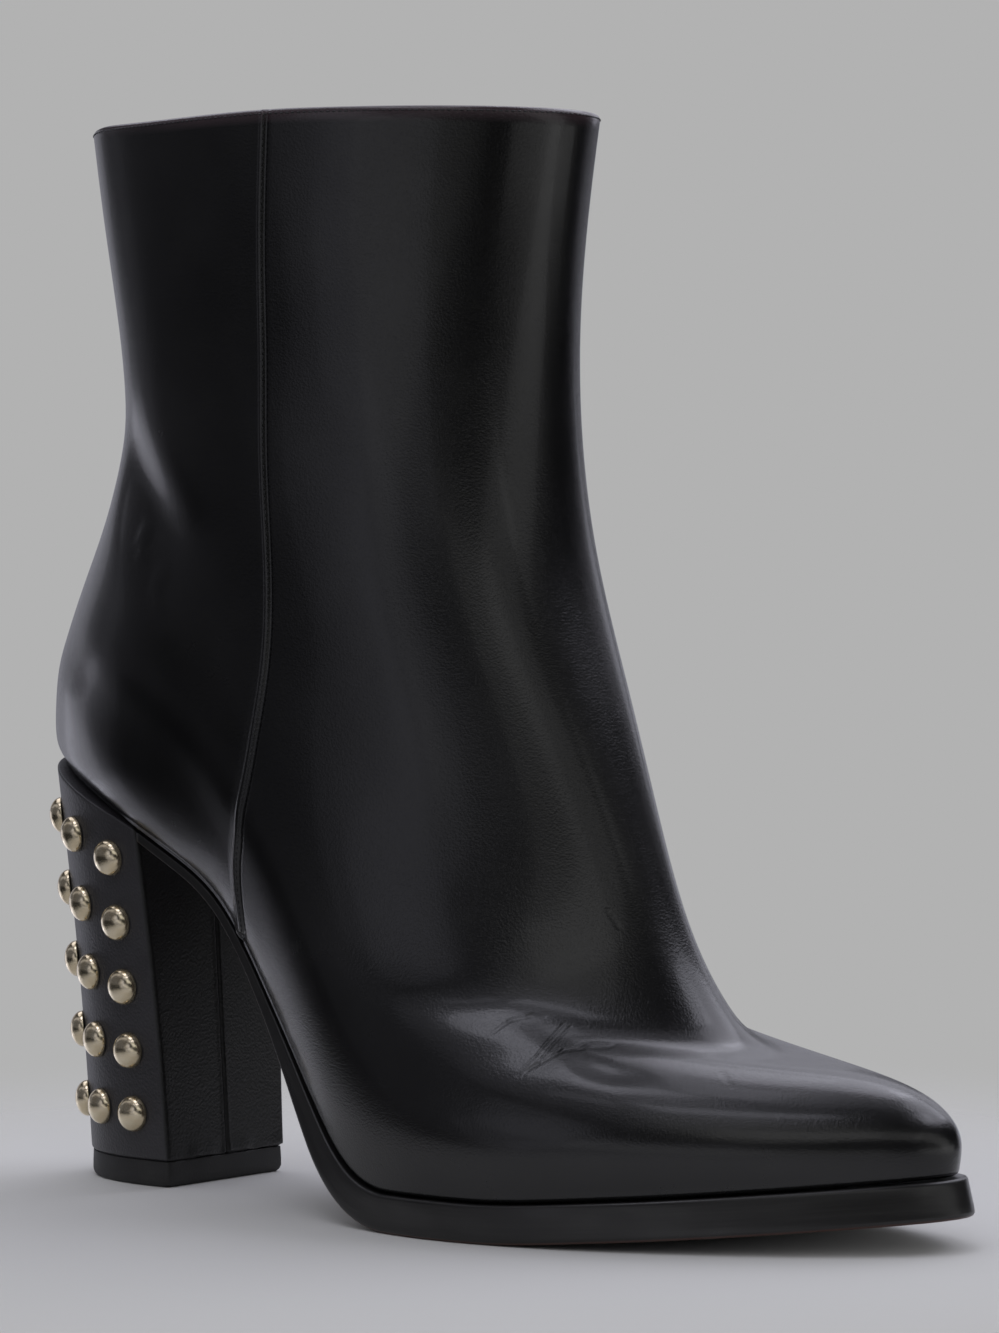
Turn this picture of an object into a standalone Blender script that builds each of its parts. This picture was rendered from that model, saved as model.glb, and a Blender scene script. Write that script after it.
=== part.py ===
"""Block heel ankle boot for the right foot, with domed studs on its heel.

Metres, +Z up. The boot stands on the floor, z = 0, with its toe towards +X and the inner side of
the foot towards +Y. The upper's sections are shares of the driving dimensions, worked out in the
last's own frame, whose x starts at the back of the counter. The frame empty then moves the boot so
that the origin is on the floor under the middle of its box.
"""

from collections import namedtuple
import math

import bpy
from mathutils import Vector
import numpy as np

# Driving dimensions of the last and the boot
LENGTH = 0.2335            # counter to toe tip, upper
BALL_WIDTH = 0.084         # across the ball, upper
SEAT_HEIGHT = 0.094        # heel seat at its back
INSTEP_HEIGHT = 0.080      # front of the instep, where vamp turns into shaft
COLLAR_HEIGHT = 0.2295     # level top of the shaft

# Upper
WALL = 0.002               # leather and lining together
MARGIN = 0.010             # lasting margin, turned in under the foot
FOLD = 0.0015              # chamfer of the turn at the feather edge
SEAM_WIDTH = 0.0022        # raised side seams
SEAM_HEIGHT = 0.0005

# Sole
FOREFOOT_SOLE = 0.008
WAIST_SOLE = 0.0021        # behind the ball
BREAST_SOLE = 0.0019       # where the sole meets the heel
SOLE_BREAK = (0.075, 0.130)  # x where the thin waist becomes the thick forefoot
SOLE_TUCK = 0.0006         # waist edge, inside the feather edge
LEDGE_BALL = 0.001         # forefoot edge, outside the feather edge
LEDGE_TOE = 0.0024
SOLE_EASE = 0.0008         # rounding of the tread's edge
SOLE_SQUARING = 0.010      # behind this, the edge turns upright to meet the heel's breast
INSOLE = 0.0025
INSOLE_INSET = 0.0042
INSOLE_LAY = 0.0010        # insole over the lasting margin, whose facets bridge the sole's curve

# Heel
LIFT = 0.006               # rubber top piece and its gap
HEEL_STRAIGHT = 0.006      # straight part of each side, at the breast
HEEL_CORNER = 0.0012
LIFT_INSET = 0.0004        # the top piece inside the cover's edge
LIFT_EASE = 0.0008

# Studs
STUD_RADIUS = 0.0040
STUD_RISE = 0.0031
STUD_ROWS = 5
STUD_COLUMNS = 7
STUD_FIRST_UP = 0.131      # lowest row, as a share of the heel's height
STUD_ROW_STEP = 0.1845
STUD_MARGIN = 0.0099       # from the edge of the breast to the nearest column

GAP = 0.0003               # between neighbouring pieces
MERGE = 0.00001            # points this near a turned piece's axis become one
SHARP = math.radians(35)   # edges over this angle are shaded sharp
NUDGE = 0.01               # step for working out a direction on the heel, as a share

# Mesh density
FRONT_COLUMNS = 14         # from the toe to a side seam
BACK_COLUMNS = 10          # from a side seam to the counter
ROWS_PER_LEVEL = 2
SOLE_STATIONS = 26
WAIST_STATIONS = 18
INSOLE_STATIONS = 40
HEEL_LEVELS = 8
HEEL_BACK_STEPS = 20
STUD_STEPS = 12
FINE = 400                 # points on a section before it is sampled

# The sole's top along the foot: x in % of LENGTH, z in % of the drop from seat to tread.
SolePoint = namedtuple("SolePoint", "x z slope")
SOLE_LINE = [
    SolePoint(0.0, 100.0, -0.33),
    SolePoint(16.0, 84.0, -0.42),
    SolePoint(24.0, 74.3, -0.48),
    SolePoint(30.0, 63.4, -0.98),
    SolePoint(37.0, 39.8, -1.27),
    SolePoint(45.5, 12.3, -1.05),
    SolePoint(55.0, 0.0, 0.0),
    SolePoint(64.0, 0.0, 0.0),
    SolePoint(76.0, 1.9, 0.075),
    SolePoint(100.0, 7.7, 0.09),
]

# Sections of the upper from feather edge to collar. back and front: ends, in % of LENGTH. back_up:
# height at the back, 0 at the seat and 100 at the collar. front_up: height at the front, 100 at
# the instep and 200 at the collar. flat: 0 where the section follows the sole's line, 100 where it
# is plane. seam: where the side seams cross, in % of the section. The rest are half widths, in %
# of BALL_WIDTH, at STATIONS along the section.
Level = namedtuple(
    "Level",
    "back back_up front front_up flat seam heel_end heel waist ball joint toe",
)
STATIONS = np.array([0.055, 0.18, 0.38, 0.60, 0.80, 0.945])
LEVELS = [
    Level(0.7, 0.0, 99.8, 20.0, 0, 32.2, 18.0, 30.0, 35.3, 46.5, 39.5, 19.5),
    Level(0.0, 2.5, 100.0, 26.4, 5, 33.6, 18.9, 32.0, 36.8, 48.2, 42.0, 20.5),
    Level(0.0, 8.3, 98.8, 34.0, 12, 34.5, 20.0, 35.0, 39.0, 48.7, 41.5, 19.3),
    Level(0.6, 14.5, 95.4, 40.0, 22, 35.7, 20.5, 36.0, 40.7, 47.7, 38.6, 17.0),
    Level(1.8, 20.0, 89.0, 44.2, 34, 38.3, 20.3, 36.5, 41.8, 46.0, 34.8, 15.0),
    Level(3.4, 25.7, 81.4, 47.5, 46, 41.4, 20.2, 37.0, 42.3, 44.8, 34.0, 16.5),
    Level(5.0, 30.8, 77.6, 56.0, 57, 43.3, 20.4, 37.1, 42.4, 43.8, 32.8, 16.0),
    Level(6.9, 36.4, 74.1, 71.5, 68, 45.3, 20.9, 37.3, 42.7, 42.4, 31.4, 15.5),
    Level(9.3, 44.0, 69.9, 100.0, 82, 48.2, 21.6, 37.6, 43.0, 41.3, 31.2, 16.3),
    Level(11.3, 53.2, 65.6, 118.0, 93, 50.5, 22.0, 37.5, 43.0, 41.6, 32.0, 17.8),
    Level(12.0, 63.3, 61.0, 138.5, 100, 53.5, 22.4, 37.3, 43.3, 42.2, 33.8, 19.5),
    Level(11.1, 74.0, 59.0, 159.0, 100, 56.7, 22.2, 37.7, 44.2, 43.0, 35.2, 20.4),
    Level(9.7, 86.3, 59.3, 179.5, 100, 58.4, 22.6, 38.7, 45.8, 45.2, 37.0, 21.0),
    Level(8.3, 100.0, 61.3, 200.0, 100, 58.9, 23.0, 40.3, 47.4, 46.8, 38.0, 21.3),
]

# The foot's curve in plan: x in % of LENGTH, y in % of BALL_WIDTH, towards the inner side.
CurvePoint = namedtuple("CurvePoint", "x y")
FOOT_CURVE = [
    CurvePoint(0.0, 0.0),
    CurvePoint(11.0, 0.0),
    CurvePoint(28.0, -1.2),
    CurvePoint(45.5, -3.4),
    CurvePoint(62.7, -7.0),
    CurvePoint(84.0, 1.4),
    CurvePoint(102.0, 8.5),
]
BALL_LEAN = 0.12           # the ball joint's line slants: its inner end is further forward
LEAN_FROM = 0.15
LEAN_OVER = 0.80

# The heel from its lift to the seat: up in % of its height, the rest in millimetres.
HeelSection = namedtuple("HeelSection", "up breast back half")
HEEL = [
    HeelSection(0.0, 46.8, 11.4, 19.5),
    HeelSection(45.0, 44.8, 8.4, 20.9),
    HeelSection(100.0, 42.4, 3.4, 25.0),
]
MM = 0.001

Finish = namedtuple("Finish", "name colour roughness metallic")
CALF = Finish("polished_calf", (0.012, 0.012, 0.013), 0.28, 0.0)
SOCK = Finish("sock_leather", (0.030, 0.022, 0.020), 0.55, 0.0)
SOLE_EDGE = Finish("sole_leather", (0.014, 0.013, 0.012), 0.35, 0.0)
COVER = Finish("heel_cover", (0.016, 0.016, 0.018), 0.42, 0.0)
RUBBER = Finish("lift_rubber", (0.018, 0.018, 0.018), 0.60, 0.0)
GOLD = Finish("pale_gold", (0.80, 0.68, 0.46), 0.16, 1.0)


# Curves

def cubic(knots, values, at, closed=False):
    """Points of the cubic spline through values, with free ends or closed on itself."""
    knots = np.asarray(knots, float)
    values = np.asarray(values, float)
    step = np.diff(knots)
    rise = (np.diff(values, axis=0).T / step).T
    count = len(step) if closed else len(knots)
    matrix = np.eye(count)
    right = np.zeros((count,) + values.shape[1:])
    for i in range(count) if closed else range(1, count - 1):
        matrix[i, i - 1] = step[i - 1]
        matrix[i, i] = 2 * (step[i - 1] + step[i])
        matrix[i, (i + 1) % count] = step[i]
        right[i] = 6 * (rise[i] - rise[i - 1])
    bend = np.linalg.solve(matrix, right.reshape(count, -1)).reshape(right.shape)
    if closed:
        bend = np.concatenate([bend, bend[:1]])
    at = np.asarray(at, float)
    i = np.clip(np.searchsorted(knots, at, side="right") - 1, 0, len(step) - 1)
    shape = (-1,) + (1,) * (values.ndim - 1)
    width = step[i].reshape(shape)
    b = ((at - knots[i]) / step[i]).reshape(shape)
    a = 1 - b
    bow = (a**3 - a) * bend[i] + (b**3 - b) * bend[i + 1]
    return a * values[i] + b * values[i + 1] + bow * width**2 / 6


def ease(x, low, high):
    """A smooth step from 0 at low to 1 at high."""
    t = np.clip((x - low) / (high - low), 0, 1)
    return t * t * (3 - 2 * t)


def sole_curve(x):
    """Height and slope of the sole's top at x."""
    rows = np.array(SOLE_LINE)
    knot_x = rows[:, 0] / 100 * LENGTH
    knot_z = FOREFOOT_SOLE + rows[:, 1] / 100 * (SEAT_HEIGHT - FOREFOOT_SOLE)
    knot_slope = rows[:, 2]
    x = np.asarray(x, float)
    inside = np.clip(x, knot_x[0], knot_x[-1])
    i = np.clip(np.searchsorted(knot_x, inside, side="right") - 1, 0, len(knot_x) - 2)
    h = knot_x[i + 1] - knot_x[i]
    t = (inside - knot_x[i]) / h
    drop = knot_z[i + 1] - knot_z[i]
    z = knot_z[i] + drop * t**2 * (3 - 2 * t)
    z = z + h * t * (1 - t) * ((1 - t) * knot_slope[i] - t * knot_slope[i + 1])
    slope = 6 * drop / h * t * (1 - t)
    slope = slope + knot_slope[i] * (1 - t) * (1 - 3 * t) + knot_slope[i + 1] * t * (3 * t - 2)
    return z + (x - inside) * slope, slope


def above_sole(x, rise=0.0):
    """Height at x of a surface that lies over the sole's top, rise away from it."""
    z, slope = sole_curve(x)
    return z + rise * np.sqrt(1 + slope**2)


def foot_middle(x):
    rows = np.array(FOOT_CURVE) / 100
    return cubic(rows[:, 0] * LENGTH, rows[:, 1] * BALL_WIDTH, x)


def outward(plan):
    """Unit normals of a closed plan outline that runs anticlockwise."""
    along = np.roll(plan, -1, axis=0) - np.roll(plan, 1, axis=0)
    return np.c_[along[:, 1], -along[:, 0]] / np.linalg.norm(along, axis=1)[:, None]


# Sections of the upper

def level_ends(level):
    return level.back / 100 * LENGTH, level.front / 100 * LENGTH


def level_height(level, x):
    """Height of a section at x: the lowest lies on the sole, the highest are plane."""
    if level.flat == 0:
        return above_sole(x, GAP + FOLD)
    back, front = level_ends(level)
    back_z = SEAT_HEIGHT + level.back_up / 100 * (COLLAR_HEIGHT - SEAT_HEIGHT)
    front_z = np.interp(level.front_up, (0, 100, 200), (0, INSTEP_HEIGHT, COLLAR_HEIGHT))
    share = max(0.0, (back_z - front_z) / (above_sole(back) - above_sole(front)))
    curved = front_z + share * (above_sole(x) - above_sole(front))
    plane = front_z + (back_z - front_z) * (front - x) / (front - back)
    flat = level.flat / 100
    return (1 - flat) * curved + flat * plane


def level_frame(level):
    """The section's own points: toe, inner side, back, outer side."""
    back, front = level_ends(level)
    half = np.array(level[-len(STATIONS):]) / 100 * BALL_WIDTH
    x = back + STATIONS * (front - back)
    curve = 1 - level.flat / 100
    lean = BALL_LEAN * curve * np.sin(np.pi * np.clip((STATIONS - LEAN_FROM) / LEAN_OVER, 0, 1))
    middle = foot_middle(x) * curve
    inner = np.c_[x + lean * half, middle + half]
    outer = np.c_[x - lean * half, middle - half]
    toe = (front, foot_middle(np.array([front]))[0] * curve)
    return np.vstack([toe, inner[::-1], (back, 0.0), outer])


def level_sides(level):
    """The section's smooth outline as two lines of points: toe to back, and back to toe."""
    frame = level_frame(level)
    ring = np.vstack([frame, frame[:1]])
    steps = np.sqrt(np.linalg.norm(np.diff(ring, axis=0), axis=1))
    knots = np.concatenate([[0], np.cumsum(steps)])
    half_way = knots[len(STATIONS) + 1]
    inner = cubic(knots, ring, np.linspace(0, half_way, FINE), closed=True)
    outer = cubic(knots, ring, np.linspace(half_way, knots[-1], FINE), closed=True)
    return inner, outer


def spaced(count):
    """Shares from 0 up to 1, 1 left out, closer together near both ends."""
    even = np.arange(count) / count
    return (even + (1 - np.cos(np.pi * even)) / 2) / 2


def side_columns(line, seam_x, first, last):
    """Points along one side of a section, with three of them across its seam."""
    arc = np.concatenate([[0], np.cumsum(np.linalg.norm(np.diff(line, axis=0), axis=1))])
    crest = arc[np.argmin(np.abs(line[:, 0] - seam_x))]
    near = crest - SEAM_WIDTH / 2
    far = crest + SEAM_WIDTH / 2
    stops = np.concatenate([spaced(first) * near, [near, crest], far + spaced(last) * (arc[-1] - far)])
    return np.c_[np.interp(stops, arc, line[:, 0]), np.interp(stops, arc, line[:, 1])]


def level_plan(level):
    """A section in plan, sampled so that each column lies on the same line of every section."""
    back, front = level_ends(level)
    seam_x = back + level.seam / 100 * (front - back)
    inner, outer = level_sides(level)
    return np.vstack([
        side_columns(inner, seam_x, FRONT_COLUMNS, BACK_COLUMNS),
        side_columns(outer, seam_x, BACK_COLUMNS, FRONT_COLUMNS),
    ])


def seam_columns():
    """The columns on the crests of the inner and the outer side seam."""
    side = FRONT_COLUMNS + BACK_COLUMNS + 2
    return FRONT_COLUMNS + 1, side + BACK_COLUMNS + 1


def wall_rows():
    """Rows of points up the wall, from the feather edge to the collar."""
    loops = []
    for level in LEVELS:
        plan = level_plan(level)
        loops.append(np.c_[plan, level_height(level, plan[:, 0])])
    loops = np.array(loops)
    climb = np.linalg.norm(np.diff(loops, axis=0), axis=2).mean(axis=1)
    knots = np.concatenate([[0], np.cumsum(climb)])
    count = ROWS_PER_LEVEL * (len(LEVELS) - 1) + 1
    at = np.interp(np.arange(count) / ROWS_PER_LEVEL, np.arange(len(knots)), knots)
    rows = cubic(knots, loops, at)
    for row in rows:
        normal = outward(row[:, :2])
        for column in seam_columns():
            row[column, :2] += SEAM_HEIGHT * normal[column]
    return rows


def margin_rows():
    """The turned-in lasting margin, from its inner edge out to the fold at the feather edge."""
    plan = level_plan(LEVELS[0])
    normal = outward(plan)
    rows = []
    for inset in (MARGIN, (MARGIN + FOLD) / 2, FOLD):
        turned = plan - inset * normal
        rows.append(np.c_[turned, above_sole(turned[:, 0], GAP)])
    return np.array(rows)


# Outlines of the flat pieces, as stations along the foot with an outer and an inner edge

def feather_edges(offset):
    """Fine outer and inner edges of the feather outline, moved outwards by offset(x)."""
    inner, outer = level_sides(LEVELS[0])
    ring = np.vstack([inner[:-1], outer[:-1]])
    moved = ring + outward(ring) * np.asarray(offset(ring[:, 0]))[..., None]
    inner = np.vstack([moved[:FINE - 1], moved[FINE - 1]])
    outer = np.vstack([moved[FINE - 1:], moved[0]])
    return outer, inner[::-1]


def edge_stations(outer, inner, stations):
    """Both edges at these x, each as rows of x, y_outer, y_inner."""
    y_outer = np.interp(stations, outer[:, 0], outer[:, 1])
    y_inner = np.interp(stations, inner[:, 0], inner[:, 1])
    return np.c_[stations, y_outer, y_inner]


def round_stations(low, high, count, round_start):
    """Stations from low to high, closer together at the rounded ends."""
    even = np.linspace(0, 1, count)
    if round_start:
        return low + (high - low) * (1 - np.cos(np.pi * even)) / 2
    return low + (high - low) * np.sin(np.pi / 2 * even)


# Meshes

def add_object(name, points, faces, finish, collection, frame):
    """A mesh object in the boot's collection, shaded smooth, with its own material."""
    mesh = bpy.data.meshes.new(name)
    mesh.from_pydata([tuple(map(float, point)) for point in points], [], faces)
    mesh.validate()
    mesh.shade_smooth()
    mesh.set_sharp_from_angle(angle=SHARP)
    return place_object(name, mesh, finish, collection, frame)


def place_object(name, mesh, finish, collection, frame):
    obj = bpy.data.objects.new(name, mesh)
    obj.parent = frame
    collection.objects.link(obj)
    if not mesh.materials:
        mesh.materials.append(material_of(finish))
    return obj


def material_of(finish):
    material = bpy.data.materials.get(finish.name)
    if material:
        return material
    material = bpy.data.materials.new(finish.name)
    material.use_nodes = True
    shader = material.node_tree.nodes["Principled BSDF"]
    shader.inputs["Base Color"].default_value = (*finish.colour, 1.0)
    shader.inputs["Roughness"].default_value = finish.roughness
    shader.inputs["Metallic"].default_value = finish.metallic
    material.diffuse_color = (*finish.colour, 1.0)
    return material


def ring_faces(rings, columns):
    """Quads between closed rings that follow one another."""
    faces = []
    for ring in range(rings - 1):
        for column in range(columns):
            after = (column + 1) % columns
            low = ring * columns
            high = low + columns
            faces.append((low + column, low + after, high + after, high + column))
    return faces


def cap_faces(start, columns, flip):
    """A cap across a ring whose second half mirrors its first: strips from side to side."""
    faces = []
    for i in range(columns // 2):
        j = columns - 1 - i
        strip = [start + i, start + i + 1, start + j - 1, start + j]
        strip = list(dict.fromkeys(strip))
        if len(strip) > 2:
            faces.append(strip[::-1] if flip else strip)
    return faces


def lofted(name, rings, finish, collection, frame):
    """A closed solid through rings from top to bottom, each anticlockwise from above."""
    columns = len(rings[0])
    points = np.concatenate(rings)
    last = (len(rings) - 1) * columns
    faces = [face[::-1] for face in ring_faces(len(rings), columns)]
    faces += cap_faces(0, columns, flip=False)
    faces += cap_faces(last, columns, flip=True)
    return add_object(name, points, faces, finish, collection, frame)


def station_ring(edges, height):
    """A ring through station rows: the inner edge from the toe back, then the outer edge forward.

    Where the outline closes to a point at an end, the two edges share that point.
    """
    x = edges[:, 0]
    z = height(x)
    outer = np.c_[x, edges[:, 1], z]
    inner = np.c_[x, edges[:, 2], z]
    return np.vstack([inner[::-1], outer])


# Sub-parts

def build_upper(collection, frame):
    rows = np.concatenate([margin_rows(), wall_rows()])
    columns = rows.shape[1]
    faces = ring_faces(len(rows), columns)
    upper = add_object("upper", rows.reshape(-1, 3), faces, CALF, collection, frame)
    wall = upper.modifiers.new("wall", "SOLIDIFY")
    wall.thickness = WALL
    wall.offset = -1
    wall.use_even_offset = True
    wall.use_quality_normals = True
    return upper


def build_insole(collection, frame):
    """A board with its filler: it lies on the lasting margin and fills the space inside it."""
    rings = []
    low = GAP + WALL + INSOLE_LAY
    steps = [
        (INSOLE_INSET, low + INSOLE),
        (INSOLE_INSET, low),
        (MARGIN + WALL, low),
        (MARGIN + WALL, GAP),
    ]
    for inset, rise in steps:
        outer, inner = feather_edges(lambda x: np.full_like(x, -inset))
        low_x = outer[:, 0].min()
        high_x = outer[:, 0].max()
        stations = round_stations(low_x, high_x, INSOLE_STATIONS, round_start=True)
        edges = edge_stations(outer, inner, stations)
        middle = edges[[0, -1], 1:].mean(axis=1)
        edges[[0, -1], 1:] = middle[:, None] + np.array([-1, 1]) * GAP
        rings.append(station_ring(edges, lambda x: above_sole(x, rise)))
    return lofted("insole", rings, SOCK, collection, frame)


def sole_ledge(x):
    """How far the sole's edge stands outside the feather edge."""
    forefoot = LEDGE_BALL + (LEDGE_TOE - LEDGE_BALL) * ease(x, SOLE_BREAK[1], LENGTH)
    return -SOLE_TUCK + (forefoot + SOLE_TUCK) * ease(x, *SOLE_BREAK)


def sole_thickness(x):
    waist = BREAST_SOLE + (WAIST_SOLE - BREAST_SOLE) * ease(x, sole_start(), SOLE_BREAK[0])
    return waist + (FOREFOOT_SOLE - WAIST_SOLE) * ease(x, *SOLE_BREAK)


def sole_start():
    """Back end of the outsole, just clear of the heel's breast."""
    return HEEL[-1].breast * MM + 2 * GAP


def sunk(ring, share, start):
    """A ring on the sole's top moved down into the sole, square to its surface."""
    x = ring[:, 0]
    slope = sole_curve(x)[1]
    depth = share(x) / np.sqrt(1 + slope**2)
    lean = ease(x, start, start + SOLE_SQUARING)
    down = depth * ((1 + slope**2) * (1 - lean) + lean)
    return ring + np.c_[depth * slope * lean, np.zeros_like(x), -down]


def build_outsole(collection, frame):
    """The sole in front of the heel: thick forefoot with a ledge, thin waist up to the breast."""
    start = sole_start()
    rings = []
    steps = [
        (sole_ledge, np.zeros_like),
        (sole_ledge, lambda x: sole_thickness(x) - SOLE_EASE),
        (lambda x: sole_ledge(x) - SOLE_EASE, sole_thickness),
    ]
    tread = [point.x / 100 * LENGTH for point in SOLE_LINE if point.z == 0.0]
    for offset, depth in steps:
        outer, inner = feather_edges(offset)
        waist = round_stations(start, tread[0], WAIST_STATIONS, round_start=False)
        toe = round_stations(tread[1], outer[:, 0].max(), SOLE_STATIONS, round_start=False)
        edges = edge_stations(outer, inner, np.concatenate([waist, toe]))
        edges[-1, 1:] = edges[-1, 1:].mean() + np.array([-1, 1]) * GAP
        rings.append(sunk(station_ring(edges, above_sole), depth, start))
    return lofted("outsole", rings, SOLE_EDGE, collection, frame)


def heel_outline(up, inset=0.0):
    """Plan of the heel at a share of its height, from the inner breast corner round to the outer."""
    rows = np.array(HEEL)
    breast, back, half = cubic(rows[:, 0] / 100, rows[:, 1:] * MM, [up])[0]
    breast -= inset
    back += inset
    half -= inset
    middle = breast - HEEL_STRAIGHT
    turn = np.radians((0, 30, 60, 90))
    corner = np.c_[
        breast - HEEL_CORNER * (1 - np.cos(turn)),
        half - HEEL_CORNER * (1 - np.sin(turn)),
    ]
    sweep = np.linspace(0, np.pi / 2, HEEL_BACK_STEPS // 2 + 1)
    quarter = np.c_[middle - (middle - back) * np.sin(sweep), half * np.cos(sweep)]
    side = np.vstack([corner, quarter])
    mirrored = side[-2::-1] * (1, -1)
    return np.vstack([side, mirrored])


def heel_ring(up):
    plan = heel_outline(up)
    return np.c_[plan, LIFT + up * (above_sole(plan[:, 0]) - LIFT)]


def build_heel(collection, frame):
    rings = [heel_ring(up) for up in np.linspace(1, 0, HEEL_LEVELS)]
    return lofted("heel", [split_tip(ring) for ring in rings], COVER, collection, frame)


def split_tip(ring):
    """A ring with its single point at the back made two, so that its halves mirror each other."""
    tip = len(ring) // 2
    pair = ring[[tip, tip]] + GAP * np.array([(0, 1, 0), (0, -1, 0)])
    return np.vstack([ring[:tip], pair, ring[tip + 1:]])


def build_top_piece(collection, frame):
    """The rubber lift, which has the outline of the heel's foot and an eased edge."""
    rings = []
    for inset, z in ((LIFT_INSET, LIFT - GAP), (LIFT_INSET, LIFT_EASE), (LIFT_INSET + LIFT_EASE, 0.0)):
        plan = heel_outline(0.0, inset)
        rings.append(split_tip(np.c_[plan, np.full(len(plan), z)]))
    return lofted("top_piece", rings, RUBBER, collection, frame)


def stud_mesh():
    """Half profile of a domed stud, from its top down to the middle of its back."""
    sweep = np.radians((0, 34, 64, 90))
    profile = [(STUD_RADIUS * math.sin(a), 0.0, STUD_RISE * math.cos(a)) for a in sweep]
    profile.append((0.0, 0.0, 0.0))
    mesh = bpy.data.meshes.new("stud_profile")
    edges = [(i, i + 1) for i in range(len(profile) - 1)]
    mesh.from_pydata(profile, edges, [])
    mesh.materials.append(material_of(GOLD))
    return mesh


def heel_point(up, along):
    """The point at shares of the heel's height and of the way between its outermost columns."""
    ring = heel_ring(up)
    arc = np.concatenate([[0], np.cumsum(np.linalg.norm(np.diff(ring[:, :2], axis=0), axis=1))])
    stop = STUD_MARGIN + along * (arc[-1] - 2 * STUD_MARGIN)
    return np.array([np.interp(stop, arc, ring[:, axis]) for axis in range(3)])


def heel_normal(up, along):
    """The direction square to the heel's side at such a point."""
    along_side = heel_point(up, along + NUDGE) - heel_point(up, along - NUDGE)
    up_side = heel_point(up + NUDGE, along) - heel_point(up - NUDGE, along)
    normal = np.cross(along_side, up_side)
    return normal / np.linalg.norm(normal)


def build_studs(collection, frame):
    """Rows of studs round the heel's sides and back, none on its breast."""
    mesh = stud_mesh()
    for row in range(STUD_ROWS):
        for column in range(STUD_COLUMNS):
            up = STUD_FIRST_UP + row * STUD_ROW_STEP
            along = column / (STUD_COLUMNS - 1)
            normal = heel_normal(up, along)
            stud = place_object(f"stud_{row + 1}_{column + 1}", mesh, GOLD, collection, frame)
            stud.location = Vector(heel_point(up, along) + GAP * normal)
            stud.rotation_mode = "QUATERNION"
            stud.rotation_quaternion = Vector(normal).to_track_quat("Z", "Y")
            turned = stud.modifiers.new("turned", "SCREW")
            turned.steps = STUD_STEPS
            turned.render_steps = STUD_STEPS
            turned.use_merge_vertices = True
            turned.merge_threshold = MERGE


def centre_frame(collection, frame):
    """Moves the frame so that the origin is under the middle of the boot's box."""
    bpy.context.view_layer.update()
    corners = [obj.matrix_world @ Vector(corner) for obj in collection.objects for corner in obj.bound_box]
    corners = np.array(corners)
    middle = (corners.min(axis=0) + corners.max(axis=0)) / 2
    frame.location = (-middle[0], -middle[1], 0.0)


def main():
    for obj in list(bpy.data.objects):
        bpy.data.objects.remove(obj, do_unlink=True)
    collection = bpy.data.collections.new("block_heel_ankle_boot")
    bpy.context.scene.collection.children.link(collection)
    frame = bpy.data.objects.new("boot_frame", None)
    bpy.context.scene.collection.objects.link(frame)
    build_upper(collection, frame)
    build_insole(collection, frame)
    build_outsole(collection, frame)
    build_heel(collection, frame)
    build_top_piece(collection, frame)
    build_studs(collection, frame)
    centre_frame(collection, frame)


main()
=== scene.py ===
"""Looks of the block heel ankle boot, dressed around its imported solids.

Metres, +Z up. Shapes are worked out in the last's own frame, whose x starts at the back of the
counter and whose +Y is the inner side of the foot. The heel's top piece gives the step from that
frame to the frame of the solids.
"""

from __future__ import annotations

import logging
import math
from dataclasses import dataclass
from enum import Enum
from typing import Callable, Mapping, NamedTuple, Optional, Sequence, Union

import bpy
import numpy as np
from mathutils import Matrix, Quaternion, Vector

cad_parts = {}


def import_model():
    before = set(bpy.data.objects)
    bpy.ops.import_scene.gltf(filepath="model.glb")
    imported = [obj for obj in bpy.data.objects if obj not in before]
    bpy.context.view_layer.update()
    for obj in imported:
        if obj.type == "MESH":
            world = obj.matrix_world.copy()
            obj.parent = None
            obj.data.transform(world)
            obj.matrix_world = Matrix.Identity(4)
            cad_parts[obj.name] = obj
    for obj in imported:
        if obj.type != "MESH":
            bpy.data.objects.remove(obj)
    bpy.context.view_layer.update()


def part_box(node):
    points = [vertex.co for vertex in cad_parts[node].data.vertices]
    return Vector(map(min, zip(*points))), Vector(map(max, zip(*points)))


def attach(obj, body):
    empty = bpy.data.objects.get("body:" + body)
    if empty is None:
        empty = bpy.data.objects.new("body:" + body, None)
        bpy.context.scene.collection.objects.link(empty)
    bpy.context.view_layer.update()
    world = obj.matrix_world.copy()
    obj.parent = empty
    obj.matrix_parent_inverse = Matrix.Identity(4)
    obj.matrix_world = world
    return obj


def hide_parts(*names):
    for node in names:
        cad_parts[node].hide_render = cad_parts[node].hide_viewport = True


LOG = logging.getLogger("boot")
BODY = "root"
MM = 0.001
PERCENT = 0.01
NOISE_MEAN = 0.5

Array = np.ndarray
Colour = tuple[float, float, float]
Operand = Union["Socket", float, Sequence[float]]


# Shader expressions

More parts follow.
